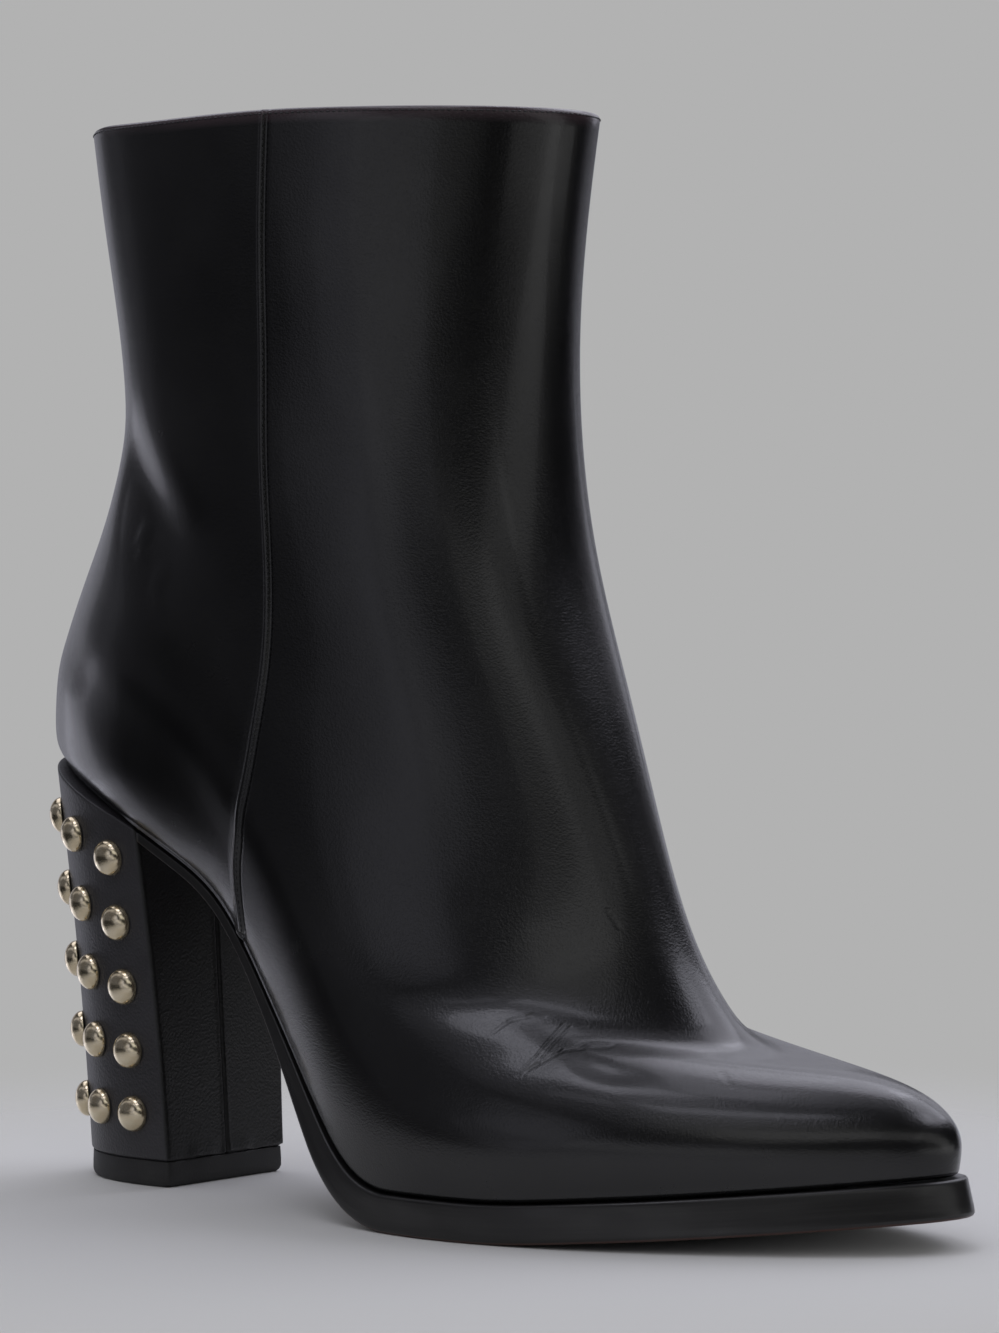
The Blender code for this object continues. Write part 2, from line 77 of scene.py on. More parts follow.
class Socket:
    """A shader socket that takes part in Python expressions.

    Expressions on values add Math nodes, and those on vectors add Vector Math nodes.
    """

    def __init__(self, graph: Graph, socket: bpy.types.NodeSocket) -> None:
        """Wraps a socket of a graph.

        Args:
            graph: The graph that new nodes go to.
            socket: An output socket.
        """
        self.graph = graph
        self.socket = socket

    def _joined(self, operation: str, left: Operand, right: Operand) -> Socket:
        """Adds the node of one operator.

        Args:
            operation: The Math or Vector Math operation.
            left: First operand.
            right: Second operand.

        Returns:
            The result's socket.
        """
        if self.socket.type == "VALUE":
            return self.graph.node("ShaderNodeMath", {"operation": operation}, {0: left, 1: right})
        sides = {}
        for index, side in enumerate((left, right)):
            sides[index] = (side, side, side) if isinstance(side, (int, float)) else side
        return self.graph.node("ShaderNodeVectorMath", {"operation": operation}, sides)

    def __add__(self, other: Operand) -> Socket:
        """Sum."""
        return self._joined("ADD", self, other)

    def __radd__(self, other: Operand) -> Socket:
        """Sum, reflected."""
        return self._joined("ADD", other, self)

    def __sub__(self, other: Operand) -> Socket:
        """Difference."""
        return self._joined("SUBTRACT", self, other)

    def __rsub__(self, other: Operand) -> Socket:
        """Difference, reflected."""
        return self._joined("SUBTRACT", other, self)

    def __mul__(self, other: Operand) -> Socket:
        """Product."""
        return self._joined("MULTIPLY", self, other)

    def __rmul__(self, other: Operand) -> Socket:
        """Product, reflected."""
        return self._joined("MULTIPLY", other, self)

    def step(self, low: float, high: float) -> Socket:
        """A smooth step.

        Args:
            low: Value where the step starts.
            high: Value where the step is 1.

        Returns:
            A value from 0 to 1.
        """
        return self.graph.node(
            "ShaderNodeMapRange",
            {"interpolation_type": "SMOOTHSTEP"},
            {"Value": self, "From Min": low, "From Max": high},
        )


class Graph:
    """The node tree of one material, written as expressions."""

    def __init__(self, name: str) -> None:
        """Makes an empty material.

        Args:
            name: The material's name.
        """
        self.material = bpy.data.materials.new(name)
        self.material.use_nodes = True
        self.tree = self.material.node_tree
        self.tree.nodes.clear()

    def node(
        self,
        kind: str,
        settings: Optional[Mapping[str, object]] = None,
        inputs: Optional[Mapping[Union[int, str], Operand]] = None,
        output: Union[int, str] = 0,
    ) -> Socket:
        """Adds one node.

        Args:
            kind: The node's type.
            settings: Properties of the node, set first.
            inputs: Values or links of its sockets, by name or number.
            output: The output socket to return.

        Returns:
            That output, wrapped.
        """
        made = self.tree.nodes.new(kind)
        for name, value in (settings or {}).items():
            setattr(made, name, value)
        for key, value in (inputs or {}).items():
            if isinstance(value, Socket):
                self.tree.links.new(value.socket, made.inputs[key])
            else:
                made.inputs[key].default_value = value
        return Socket(self, made.outputs[output])

    def place(self) -> Socket:
        """The point on the surface, in metres."""
        return self.node("ShaderNodeTexCoord", output="Object")

    def mask(self, name: str) -> Socket:
        """A value stored on the mesh's points under this name."""
        return self.node("ShaderNodeAttribute", {"attribute_name": name}, output="Fac")

    def noise(self, place: Socket, size: float, detail: float = 2.0, rough: float = 0.5) -> Socket:
        """Cloudy noise.

        Args:
            place: Where to read it.
            size: Size of its patches in metres.
            detail: Octaves.
            rough: Share of the finer octaves.

        Returns:
            A value about 0.5.
        """
        return self.node(
            "ShaderNodeTexNoise",
            inputs={"Vector": place, "Scale": 1 / size, "Detail": detail, "Roughness": rough},
        )

    def cells(self, place: Socket, size: float) -> Socket:
        """Rounded cells, as in leather grain.

        Args:
            place: Where to read them.
            size: Size of a cell in metres.

        Returns:
            The distance from a cell's middle, about 0 to 1.
        """
        return self.node(
            "ShaderNodeTexVoronoi",
            {"feature": "SMOOTH_F1"},
            {"Vector": place, "Scale": 1 / size, "Smoothness": 0.5},
        )

    def mix(self, factor: Operand, first: Operand, second: Operand) -> Socket:
        """A mix of two colours.

        Args:
            factor: 0 for the first colour, 1 for the second.
            first: A colour of three numbers, or a socket.
            second: A colour of three numbers, or a socket.

        Returns:
            The mixed colour.
        """
        ends = []
        for end in (first, second):
            ends.append(end if isinstance(end, Socket) else (*end, 1.0))
        return self.node(
            "ShaderNodeMix", {"data_type": "RGBA"}, {0: factor, 6: ends[0], 7: ends[1]}, output=2
        )

    def bump(self, height: Socket, depth: float) -> Socket:
        """A normal from a height.

        Args:
            height: Height, in shares of the depth.
            depth: Depth of a height of 1, in metres.

        Returns:
            The bumped normal.
        """
        return self.node("ShaderNodeBump", inputs={"Height": height, "Distance": depth, "Strength": 1.0})

    def on_line(self, place: Socket, start: Array, end: Array, width: float) -> Socket:
        """A straight line in x and z, drawn through all y.

        Args:
            place: Where to read it.
            start: One end of the line, in metres.
            end: Its other end.
            width: Half width of the line.

        Returns:
            1 on the line, falling to 0 at its width.
        """
        ahead = (end[0] - start[0], 0.0, end[1] - start[1])
        length = math.hypot(ahead[0], ahead[2])
        flat = (place - (start[0], 0.0, start[1])) * (1.0, 0.0, 1.0)
        share = self.node("ShaderNodeVectorMath", {"operation": "DOT_PRODUCT"}, {0: flat, 1: ahead}, "Value")
        inside = self.node("ShaderNodeClamp", inputs={"Value": share * (1 / length**2)})
        foot = self.node("ShaderNodeVectorMath", {"operation": "SCALE"}, {0: ahead, "Scale": inside})
        apart = self.node("ShaderNodeVectorMath", {"operation": "LENGTH"}, {0: flat - foot}, "Value")
        return apart.step(width, 0.0)

    def surface(self, **values: Operand) -> bpy.types.Material:
        """Ends the graph in a Principled shader.

        Args:
            **values: Its sockets, with _ for each space in a name.

        Returns:
            The finished material.
        """
        inputs = {}
        for name, value in values.items():
            flat_colour = isinstance(value, tuple) and len(value) == 3
            inputs[name.replace("_", " ")] = (*value, 1.0) if flat_colour else value
        shader = self.node("ShaderNodeBsdfPrincipled", inputs=inputs)
        self.node_output(shader)
        return self.material

    def node_output(self, shader: Socket) -> None:
        """Links a shader to the material's output."""
        output = self.tree.nodes.new("ShaderNodeOutputMaterial")
        self.tree.links.new(shader.socket, output.inputs["Surface"])


# Finishes

class FineCrease(NamedTuple):
    """A line pressed into the grain of the outer side: x and z in millimetres, in the last's frame."""

    path: tuple[tuple[float, float], ...]
    depth: float
    width: float


FINE_CREASES = (
    FineCrease(((159.0, 34.5), (160.8, 38.0), (161.4, 43.5)), 0.10, 0.55),
    FineCrease(((160.4, 34.0), (162.2, 37.8), (162.8, 43.0)), 0.10, 0.55),
    FineCrease(((159.5, 34.3), (162.0, 36.2), (165.0, 38.8), (168.0, 39.4), (172.0, 39.5)), 0.16, 0.80),
    FineCrease(((150.5, 42.0), (152.2, 44.2), (155.0, 45.1), (157.5, 45.0)), 0.08, 0.80),
    FineCrease(((162.2, 66.0), (164.6, 62.4)), 0.06, 0.60),
    FineCrease(((194.1, 35.3), (198.3, 32.8)), 0.06, 0.60),
)


@dataclass(frozen=True)
class CalfFinish:
    """Polished smooth black calf, with fine grain, flex wrinkles and a collar edge painted lighter and
    purple: partly a tint, partly painted highlight.
    """

    name: str = "boot_calf"
    black: Colour = (0.0032, 0.0032, 0.0034)
    dusty: Colour = (0.0056, 0.0056, 0.0058)
    # Colour of the collar's rounded edge: partly a purple tint, partly painted highlight where the rounded
    # edge catches the light.
    edge: Colour = (0.030, 0.019, 0.023)
    roughness: float = 0.25
    coat: float = 0.30
    coat_roughness: float = 0.12
    grain_size: float = 0.00050
    pore_size: float = 0.00026
    mottle_size: float = 0.0045
    cloud_size: float = 0.030
    wrinkle_size: float = 0.0022
    wrinkle_stretch: float = 0.22
    wrinkle_turn: float = -42.0
    grain_depth: float = 0.00007
    grain_share: float = 0.45
    pore_share: float = 0.45
    wrinkle_share: float = 0.7
    haze: float = 0.08
    coat_haze: float = 0.2

    def material(self, shift: Array) -> bpy.types.Material:
        """Makes the leather's material.

        Args:
            shift: The step from the last's frame to the frame of the solids.

        Returns:
            The material.
        """
        graph = Graph(self.name)
        place = graph.place()
        clouds = graph.noise(place, self.cloud_size, 3.0)
        mottle = graph.noise(place, self.mottle_size, 4.0, 0.65)
        grain = graph.cells(place, self.grain_size)
        pores = graph.noise(place, self.pore_size, 1.0)
        turned = graph.node(
            "ShaderNodeVectorRotate",
            {"rotation_type": "Y_AXIS"},
            {"Vector": place, "Angle": math.radians(self.wrinkle_turn)},
        )
        wrinkles = graph.noise(turned * (self.wrinkle_stretch, 0.5, 1.0), self.wrinkle_size, 3.0, 0.6)
        flex = graph.mask("flex")
        height = grain * self.grain_share + pores * self.pore_share + wrinkles * flex * self.wrinkle_share
        outer = graph.mask("outer")
        for crease in FINE_CREASES:
            path = [np.array(spot) * MM + shift[[0, 2]] for spot in crease.path]
            share = crease.depth * MM / self.grain_depth
            for start, end in zip(path, path[1:]):
                height = height - graph.on_line(place, start, end, crease.width * MM) * outer * share
        base = graph.mix(clouds.step(0.35, 0.75), self.black, self.dusty)
        rough = self.roughness + (clouds - NOISE_MEAN) * self.haze + (mottle - NOISE_MEAN) * self.haze
        return graph.surface(
            # The collar's edge is painted lighter and purple here: partly tint, partly painted highlight.
            Base_Color=graph.mix(graph.mask("edge"), base, self.edge),
            Roughness=rough,
            Coat_Weight=self.coat + (clouds - NOISE_MEAN) * self.coat_haze,
            Coat_Roughness=self.coat_roughness,
            Normal=graph.bump(height, self.grain_depth),
        )


@dataclass(frozen=True)
class LiningFinish:
    """Matt dark lining leather, with a soft nap."""

    name: str = "boot_lining"
    dark: Colour = (0.022, 0.013, 0.014)
    light: Colour = (0.034, 0.021, 0.021)
    roughness: float = 0.62
    grain_size: float = 0.0009
    cloud_size: float = 0.014
    grain_depth: float = 0.00009
    nap_share: float = 0.4
    haze: float = 0.15

    def material(self) -> bpy.types.Material:
        """Makes the lining's material.

        Returns:
            The material.
        """
        graph = Graph(self.name)
        place = graph.place()
        clouds = graph.noise(place, self.cloud_size, 4.0, 0.6)
        grain = graph.cells(place, self.grain_size)
        return graph.surface(
            Base_Color=graph.mix(clouds.step(0.3, 0.7), self.dark, self.light),
            Roughness=self.roughness + (clouds - NOISE_MEAN) * self.haze,
            Normal=graph.bump(grain + clouds * self.nap_share, self.grain_depth),
        )


@dataclass(frozen=True)
class SoleFinish:
    """Black inked and polished sole edge, streaked along its length, brown at the tread's edge."""

    name: str = "boot_sole"
    ink: Colour = (0.0085, 0.0082, 0.0082)
    rubbed: Colour = (0.014, 0.0135, 0.013)
    raw: Colour = (0.060, 0.024, 0.016)
    roughness: float = 0.34
    streak_size: float = 0.0009
    streak_stretch: float = 0.03
    smudge_size: float = 0.012
    smudge_stretch: float = 0.45
    patch_size: float = 0.020
    streak_depth: float = 0.00003
    streak_share: float = 0.6
    patch_share: float = 0.4
    smudge_haze: float = 0.34
    streak_haze: float = 0.14
    polish: float = 0.25
    polish_roughness: float = 0.16

    def material(self) -> bpy.types.Material:
        """Makes the sole's material, whose masks run along the edge and down it.

        Returns:
            The material.
        """
        graph = Graph(self.name)
        edge = graph.node("ShaderNodeCombineXYZ", inputs={0: graph.mask("run"), 1: graph.mask("deep")})
        streaks = graph.noise(edge * (self.streak_stretch, 1.0, 1.0), self.streak_size, 3.0, 0.6)
        smudges = graph.noise(edge * (self.smudge_stretch, 1.0, 1.0), self.smudge_size, 2.0)
        patches = graph.noise(graph.place(), self.patch_size, 4.0, 0.6)
        worn = streaks * self.streak_share + patches * self.patch_share
        inked = graph.mix(worn.step(0.42, 0.72), self.ink, self.rubbed)
        smudged = (smudges - NOISE_MEAN) * self.smudge_haze
        return graph.surface(
            Base_Color=graph.mix(graph.mask("raw"), inked, self.raw),
            Roughness=self.roughness + smudged + (streaks - NOISE_MEAN) * self.streak_haze,
            Coat_Weight=smudges.step(0.55, 0.30) * self.polish,
            Coat_Roughness=self.polish_roughness,
            Normal=graph.bump(streaks, self.streak_depth),
        )


@dataclass(frozen=True)
class CoverFinish:
    """Satin black leather stretched over the heel block, with its breast painted near black as painted
    shade.
    """

    name: str = "boot_heel_cover"
    black: Colour = (0.0170, 0.0165, 0.0190)
    light: Colour = (0.0240, 0.0233, 0.0266)
    # Painted shade: the heel's front is painted near black, where less light falls on it.
    breast_shade: Colour = (0.0030, 0.0030, 0.0029)
    roughness: float = 0.42
    grain_size: float = 0.0006
    cloud_size: float = 0.018
    grain_depth: float = 0.00007
    haze: float = 0.12

    def material(self) -> bpy.types.Material:
        """Makes the cover's material.

        Returns:
            The material.
        """
        graph = Graph(self.name)
        place = graph.place()
        clouds = graph.noise(place, self.cloud_size, 3.0)
        grain = graph.cells(place, self.grain_size)
        side = graph.mix(clouds.step(0.3, 0.7), self.black, self.light)
        return graph.surface(
            # The breast mask paints the heel's front near black: painted shade.
            Base_Color=graph.mix(graph.mask("breast"), side, self.breast_shade),
            Roughness=self.roughness + (clouds - NOISE_MEAN) * self.haze,
            Normal=graph.bump(grain, self.grain_depth),
        )


@dataclass(frozen=True)
class RubberFinish:
    """Matt black rubber with moulding grit."""

    name: str = "boot_lift_rubber"
    black: Colour = (0.012, 0.012, 0.0122)
    dusty: Colour = (0.022, 0.0215, 0.021)
    roughness: float = 0.58
    grit_size: float = 0.0004
    cloud_size: float = 0.008
    grit_depth: float = 0.00005
    haze: float = 0.2

    def material(self) -> bpy.types.Material:
        """Makes the rubber's material.

        Returns:
            The material.
        """
        graph = Graph(self.name)
        place = graph.place()
        clouds = graph.noise(place, self.cloud_size, 4.0, 0.6)
        grit = graph.noise(place, self.grit_size, 1.0)
        return graph.surface(
            Base_Color=graph.mix(clouds.step(0.4, 0.8), self.black, self.dusty),
            Roughness=self.roughness + (clouds - NOISE_MEAN) * self.haze,
            Normal=graph.bump(grit, self.grit_depth),
        )


@dataclass(frozen=True)
class GoldFinish:
    """Polished pale gold plating, slightly hazed."""

    name: str = "boot_pale_gold"
    bright: Colour = (0.87, 0.77, 0.57)
    deep: Colour = (0.77, 0.65, 0.44)
    roughness: float = 0.20
    metallic: float = 0.96
    haze_size: float = 0.0035
    haze: float = 0.08
    scratch_size: float = 0.0003
    scratch: float = 0.05

    def material(self) -> bpy.types.Material:
        """Makes the plating's material.

        Returns:
            The material.
        """
        graph = Graph(self.name)
        place = graph.place()
        hazed = graph.noise(place, self.haze_size, 3.0)
        scratches = graph.noise(place, self.scratch_size, 2.0)
        dulled = (hazed - NOISE_MEAN) * self.haze
        return graph.surface(
            Base_Color=graph.mix(hazed.step(0.35, 0.7), self.bright, self.deep),
            Metallic=self.metallic,
            Roughness=self.roughness + dulled + (scratches - NOISE_MEAN) * self.scratch,
        )


@dataclass(frozen=True)
class ThreadFinish:
    """Black waxed thread with a twist."""

    name: str = "boot_thread"
    black: Colour = (0.008, 0.008, 0.009)
    light: Colour = (0.020, 0.020, 0.022)
    roughness: float = 0.45
    twist_size: float = 0.0003
    haze: float = 0.2

    def material(self) -> bpy.types.Material:
        """Makes the thread's material.

        Returns:
            The material.
        """
        graph = Graph(self.name)
        twist = graph.noise(graph.place(), self.twist_size, 1.0)
        return graph.surface(
            Base_Color=graph.mix(twist.step(0.4, 0.65), self.black, self.light),
            Roughness=self.roughness + (twist - NOISE_MEAN) * self.haze,
        )


@dataclass(frozen=True)
class StudioFinish:
    """Plain pale floor that thins out with the distance from the boot."""

    name: str = "studio_floor"
    pale: Colour = (0.48, 0.48, 0.48)
    roughness: float = 0.9
    solid_to: float = 0.06
    gone_at: float = 0.32

    def material(self) -> bpy.types.Material:
        """Makes the floor's material.

        Returns:
            The material.
        """
        graph = Graph(self.name)
        far = graph.node("ShaderNodeVectorMath", {"operation": "LENGTH"}, {0: graph.place()}, "Value")
        return graph.surface(
            Base_Color=self.pale,
            Roughness=self.roughness,
            Specular_IOR_Level=0.0,
            Alpha=1.0 - far.step(self.solid_to, self.gone_at),
        )


# Curves

def cubic(knots: Array, values: Array, at: Array, closed: bool = False) -> Array:
    """Points of the cubic spline through values.

    Args:
        knots: Rising parameter of each value.
        values: A number or a point for each knot.
        at: Parameters to read.
        closed: Whether the curve closes on itself; otherwise its ends are free.

    Returns:
        A row for each parameter.
    """
    knots = np.asarray(knots, float)
    values = np.asarray(values, float)
    step = np.diff(knots)
    rise = (np.diff(values, axis=0).T / step).T
    count = len(step) if closed else len(knots)
    matrix = np.eye(count)
    right = np.zeros((count,) + values.shape[1:])
    for i in range(count) if closed else range(1, count - 1):
        matrix[i, i - 1] = step[i - 1]
        matrix[i, i] = 2 * (step[i - 1] + step[i])
        matrix[i, (i + 1) % count] = step[i]
        right[i] = 6 * (rise[i] - rise[i - 1])
    bend = np.linalg.solve(matrix, right.reshape(count, -1)).reshape(right.shape)
    if closed:
        bend = np.concatenate([bend, bend[:1]])
    at = np.asarray(at, float)
    i = np.clip(np.searchsorted(knots, at, side="right") - 1, 0, len(step) - 1)
    shape = (-1,) + (1,) * (values.ndim - 1)
    width = step[i].reshape(shape)
    b = ((at - knots[i]) / step[i]).reshape(shape)
    a = 1 - b
    bow = (a**3 - a) * bend[i] + (b**3 - b) * bend[i + 1]
    return a * values[i] + b * values[i + 1] + bow * width**2 / 6


def ease(x: Array, low: float, high: float) -> Array:
    """A smooth step from 0 at low to 1 at high."""
    t = np.clip((np.asarray(x, float) - low) / (high - low), 0, 1)
    return t * t * (3 - 2 * t)


def arc_length(line: Array) -> Array:
    """Length along a line of points, starting at 0."""
    return np.concatenate([[0], np.cumsum(np.linalg.norm(np.diff(line, axis=0), axis=1))])


def along(line: Array, stops: Array) -> Array:
    """Points at these lengths along a line of points."""
    arc = arc_length(line)
    return np.stack([np.interp(stops, arc, line[:, axis]) for axis in range(line.shape[1])], axis=1)


def outward(plan: Array) -> Array:
    """Unit normals of a closed plan outline that runs anticlockwise."""
    tangent = np.roll(plan, -1, axis=0) - np.roll(plan, 1, axis=0)
    return np.c_[tangent[:, 1], -tangent[:, 0]] / np.linalg.norm(tangent, axis=1)[:, None]


def unit(vectors: Array) -> Array:
    """These vectors at a length of 1."""
    return vectors / np.linalg.norm(vectors, axis=-1, keepdims=True)


# The last

class SolePoint(NamedTuple):
    """A point of the sole's top: x in % of the length, z in % of the drop from seat to tread."""

    x: float
    z: float
    slope: float


class Level(NamedTuple):
    """A section of the upper, from feather edge to collar.

    back and front are its ends in % of the length. back_up is 0 at the seat and 100 at the collar,
    front_up 100 at the instep and 200 at the collar. flat is 0 where the section follows the sole's
    line and 100 where it is plane. seam is where the side seams cross. The rest are half widths in
    % of the ball width.
    """

    back: float
    back_up: float
    front: float
    front_up: float
    flat: float
    seam: float
    heel_end: float
    heel: float
    waist: float
    ball: float
    joint: float
    toe: float


class CurvePoint(NamedTuple):
    """A point of the foot's curve in plan: x in % of the length, y in % of the ball width."""

    x: float
    y: float


SOLE_LINE = (
    SolePoint(0.0, 100.0, -0.33),
    SolePoint(16.0, 84.0, -0.42),
    SolePoint(24.0, 74.3, -0.48),
    SolePoint(30.0, 63.4, -0.98),
    SolePoint(37.0, 39.8, -1.27),
    SolePoint(45.5, 12.3, -1.05),
    SolePoint(55.0, 0.0, 0.0),
    SolePoint(64.0, 0.0, 0.0),
    SolePoint(76.0, 1.9, 0.075),
    SolePoint(100.0, 7.7, 0.09),
)
STATIONS = np.array([0.055, 0.18, 0.38, 0.60, 0.80, 0.945])
LEVELS = (
    Level(0.7, 0.0, 99.8, 20.0, 0, 32.2, 18.0, 30.0, 35.3, 46.5, 39.5, 19.5),
    Level(0.0, 2.5, 100.0, 26.4, 5, 33.6, 18.9, 32.0, 36.8, 48.2, 42.0, 20.5),
    Level(0.0, 8.3, 98.8, 34.0, 12, 34.5, 20.0, 35.0, 39.0, 48.7, 41.5, 19.3),
    Level(0.6, 14.5, 95.4, 40.0, 22, 35.7, 20.5, 36.0, 40.7, 47.7, 38.6, 17.0),
    Level(1.8, 20.0, 89.0, 44.2, 34, 38.3, 20.3, 36.5, 41.8, 46.0, 34.8, 15.0),
    Level(3.4, 25.7, 81.4, 47.5, 46, 41.4, 20.2, 37.0, 42.3, 44.8, 34.0, 16.5),
    Level(5.0, 30.8, 77.6, 56.0, 57, 43.3, 20.4, 37.1, 42.4, 43.8, 32.8, 16.0),
    Level(6.9, 36.4, 74.1, 71.5, 68, 45.3, 20.9, 37.3, 42.7, 42.4, 31.4, 15.5),
    Level(9.3, 44.0, 69.9, 100.0, 82, 48.2, 21.6, 37.6, 43.0, 41.3, 31.2, 16.3),
    Level(11.3, 53.2, 65.6, 118.0, 93, 50.5, 22.0, 37.5, 43.0, 41.6, 32.0, 17.8),
    Level(12.0, 63.3, 61.0, 138.5, 100, 53.5, 22.4, 37.3, 43.3, 42.2, 33.8, 19.5),
    Level(11.1, 74.0, 59.0, 159.0, 100, 56.7, 22.2, 37.7, 44.2, 43.0, 35.2, 20.4),
    Level(9.7, 86.3, 59.3, 179.5, 100, 58.4, 22.6, 38.7, 45.8, 45.2, 37.0, 21.0),
    Level(8.3, 100.0, 61.3, 200.0, 100, 58.9, 23.0, 40.3, 47.4, 46.8, 38.0, 21.3),
)
FOOT_CURVE = (
    CurvePoint(0.0, 0.0),
    CurvePoint(11.0, 0.0),
    CurvePoint(28.0, -1.2),
    CurvePoint(45.5, -3.4),
    CurvePoint(62.7, -7.0),
    CurvePoint(84.0, 1.4),
    CurvePoint(102.0, 8.5),
)


@dataclass(frozen=True)
class Last:
    """The foot form that the boot is made on, with the boot's driving dimensions."""

    length: float = 0.2335
    ball_width: float = 0.084
    seat_height: float = 0.094
    instep_height: float = 0.080
    collar_height: float = 0.2295
    forefoot_sole: float = 0.008
    gap: float = 0.0003
    fold: float = 0.0013
    ball_lean: float = 0.12
    lean_from: float = 0.15
    lean_over: float = 0.80
    fine: int = 900

    def sole_curve(self, x: Array) -> tuple[Array, Array]:
        """The sole's top line.

        Args:
            x: Places along the foot.

        Returns:
            Its height and its slope there.
        """
        rows = np.array(SOLE_LINE)
        knot_x = rows[:, 0] * PERCENT * self.length
        knot_z = self.forefoot_sole + rows[:, 1] * PERCENT * (self.seat_height - self.forefoot_sole)
        knot_slope = rows[:, 2]
        x = np.asarray(x, float)
        inside = np.clip(x, knot_x[0], knot_x[-1])
        i = np.clip(np.searchsorted(knot_x, inside, side="right") - 1, 0, len(knot_x) - 2)
        h = knot_x[i + 1] - knot_x[i]
        t = (inside - knot_x[i]) / h
        drop = knot_z[i + 1] - knot_z[i]
        z = knot_z[i] + drop * t**2 * (3 - 2 * t)
        z = z + h * t * (1 - t) * ((1 - t) * knot_slope[i] - t * knot_slope[i + 1])
        slope = 6 * drop / h * t * (1 - t)
        slope = slope + knot_slope[i] * (1 - t) * (1 - 3 * t) + knot_slope[i + 1] * t * (3 * t - 2)
        return z + (x - inside) * slope, slope

    def above_sole(self, x: Array, rise: Union[float, Array] = 0.0) -> Array:
        """Height at x of a surface that lies over the sole's top, rise away from it."""
        z, slope = self.sole_curve(x)
        return z + rise * np.sqrt(1 + slope**2)

    def foot_middle(self, x: Array) -> Array:
        """The foot's curve in plan: y of its middle at x."""
        rows = np.array(FOOT_CURVE) * PERCENT
        return cubic(rows[:, 0] * self.length, rows[:, 1] * self.ball_width, x)

    def level_ends(self, level: Level) -> tuple[float, float]:
        """Back and front end of a section."""
        return level.back * PERCENT * self.length, level.front * PERCENT * self.length

    def level_height(self, level: Level, x: Array) -> Array:
        """Height of a section: the lowest lies on the sole, the highest are plane.

        Args:
            level: The section.
            x: Places along the foot.

        Returns:
            A height for each place.
        """
        if level.flat == 0:
            return self.above_sole(x, self.gap + self.fold)
        back, front = self.level_ends(level)
        back_z = self.seat_height + level.back_up * PERCENT * (self.collar_height - self.seat_height)
        front_z = np.interp(level.front_up, (0, 100, 200), (0, self.instep_height, self.collar_height))
        share = max(0.0, (back_z - front_z) / (self.above_sole(back) - self.above_sole(front)))
        curved = front_z + share * (self.above_sole(x) - self.above_sole(front))
        plane = front_z + (back_z - front_z) * (front - x) / (front - back)
        flat = level.flat * PERCENT
        return (1 - flat) * curved + flat * plane

    def level_sides(self, level: Level) -> tuple[Array, Array]:
        """A section's smooth outline in plan.

        Args:
            level: The section.

        Returns:
            Its inner side from toe to back, and its outer side from back to toe.
        """
        back, front = self.level_ends(level)
        half = np.array(level[-len(STATIONS):]) * PERCENT * self.ball_width
        x = back + STATIONS * (front - back)
        curve = 1 - level.flat * PERCENT
        swing = np.sin(np.pi * np.clip((STATIONS - self.lean_from) / self.lean_over, 0, 1))
        lean = self.ball_lean * curve * swing
        middle = self.foot_middle(x) * curve
        inner = np.c_[x + lean * half, middle + half]
        outer = np.c_[x - lean * half, middle - half]
        toe = (front, self.foot_middle(np.array([front]))[0] * curve)
        ring = np.vstack([toe, inner[::-1], (back, 0.0), outer, toe])
        steps = np.sqrt(np.linalg.norm(np.diff(ring, axis=0), axis=1))
        knots = np.concatenate([[0], np.cumsum(steps)])
        half_way = knots[len(STATIONS) + 1]
        inner = cubic(knots, ring, np.linspace(0, half_way, self.fine), closed=True)
        outer = cubic(knots, ring, np.linspace(half_way, knots[-1], self.fine), closed=True)
        return inner, outer

    def feather_sides(
        self, offset: Callable[[Array], Array], count: int, stop_x: Optional[float] = None
    ) -> tuple[Array, Array]:
        """The feather outline moved outwards, as two edges that run from the toe to the back.

        Args:
            offset: How far out, by x.
            count: Points on each edge.
            stop_x: Where the edges end; otherwise they meet at the back.

        Returns:
            The inner and the outer edge, in plan.
        """
        inner, outer = self.level_sides(LEVELS[0])
        ring = np.vstack([inner[:-1], outer[:-1]])
        moved = ring + outward(ring) * offset(ring[:, 0])[:, None]
        sides = moved[:self.fine], np.vstack([moved[:1], moved[:self.fine - 2:-1]])
        edges = []
        for side in sides:
            arc = arc_length(side)
            end = arc[-1] if stop_x is None else np.interp(-stop_x, -side[:, 0], arc)
            edges.append(along(side, np.linspace(0, end, count)))
        return edges[0], edges[1]


# Meshes

def ring_quads(rings: int, columns: int, joined: bool = False) -> Array:
    """Quads between closed rings that follow one another.

    Args:
        rings: Number of rings.
        columns: Points on each ring.
        joined: Whether the last ring joins the first.

    Returns:
        Four point numbers for each quad.
    """
    ring = np.arange(rings if joined else rings - 1)[:, None]
    column = np.arange(columns)[None, :]
    after = (column + 1) % columns
    above = (ring + 1) % rings
    low = [ring * columns + column, ring * columns + after]
    high = [above * columns + after, above * columns + column]
    return np.stack(low + high, axis=-1).reshape(-1, 4)


def strip_cap(start: int, columns: int, downward: bool) -> list[list[int]]:
    """A cap across a ring that starts on its axis of symmetry: strips from side to side.

    Args:
        start: Number of the ring's first point.
        columns: Points on the ring.
        downward: Whether the cap faces down.

    Returns:
        The strips.
    """
    strips = []
    for i in range(columns // 2):
        strip = [start + i, start + i + 1, start + columns - i - 1, start + (columns - i) % columns]
        strip = list(dict.fromkeys(strip))
        strips.append(strip[::-1] if downward else strip)
    return strips


def mesh_object(name: str, points: Array, faces: Sequence[Sequence[int]]) -> bpy.types.Object:
    """A smooth-shaded mesh object that is linked to the scene.

    Args:
        name: The piece's name.
        points: Its points.
        faces: Point numbers of each face.

    Returns:
        The object.
    """
    mesh = bpy.data.meshes.new(name)
    mesh.from_pydata(points.reshape(-1, 3).tolist(), [], [list(map(int, face)) for face in faces])
    mesh.validate()
    mesh.shade_smooth()
    piece = bpy.data.objects.new(name, mesh)
    bpy.context.scene.collection.objects.link(piece)
    return piece


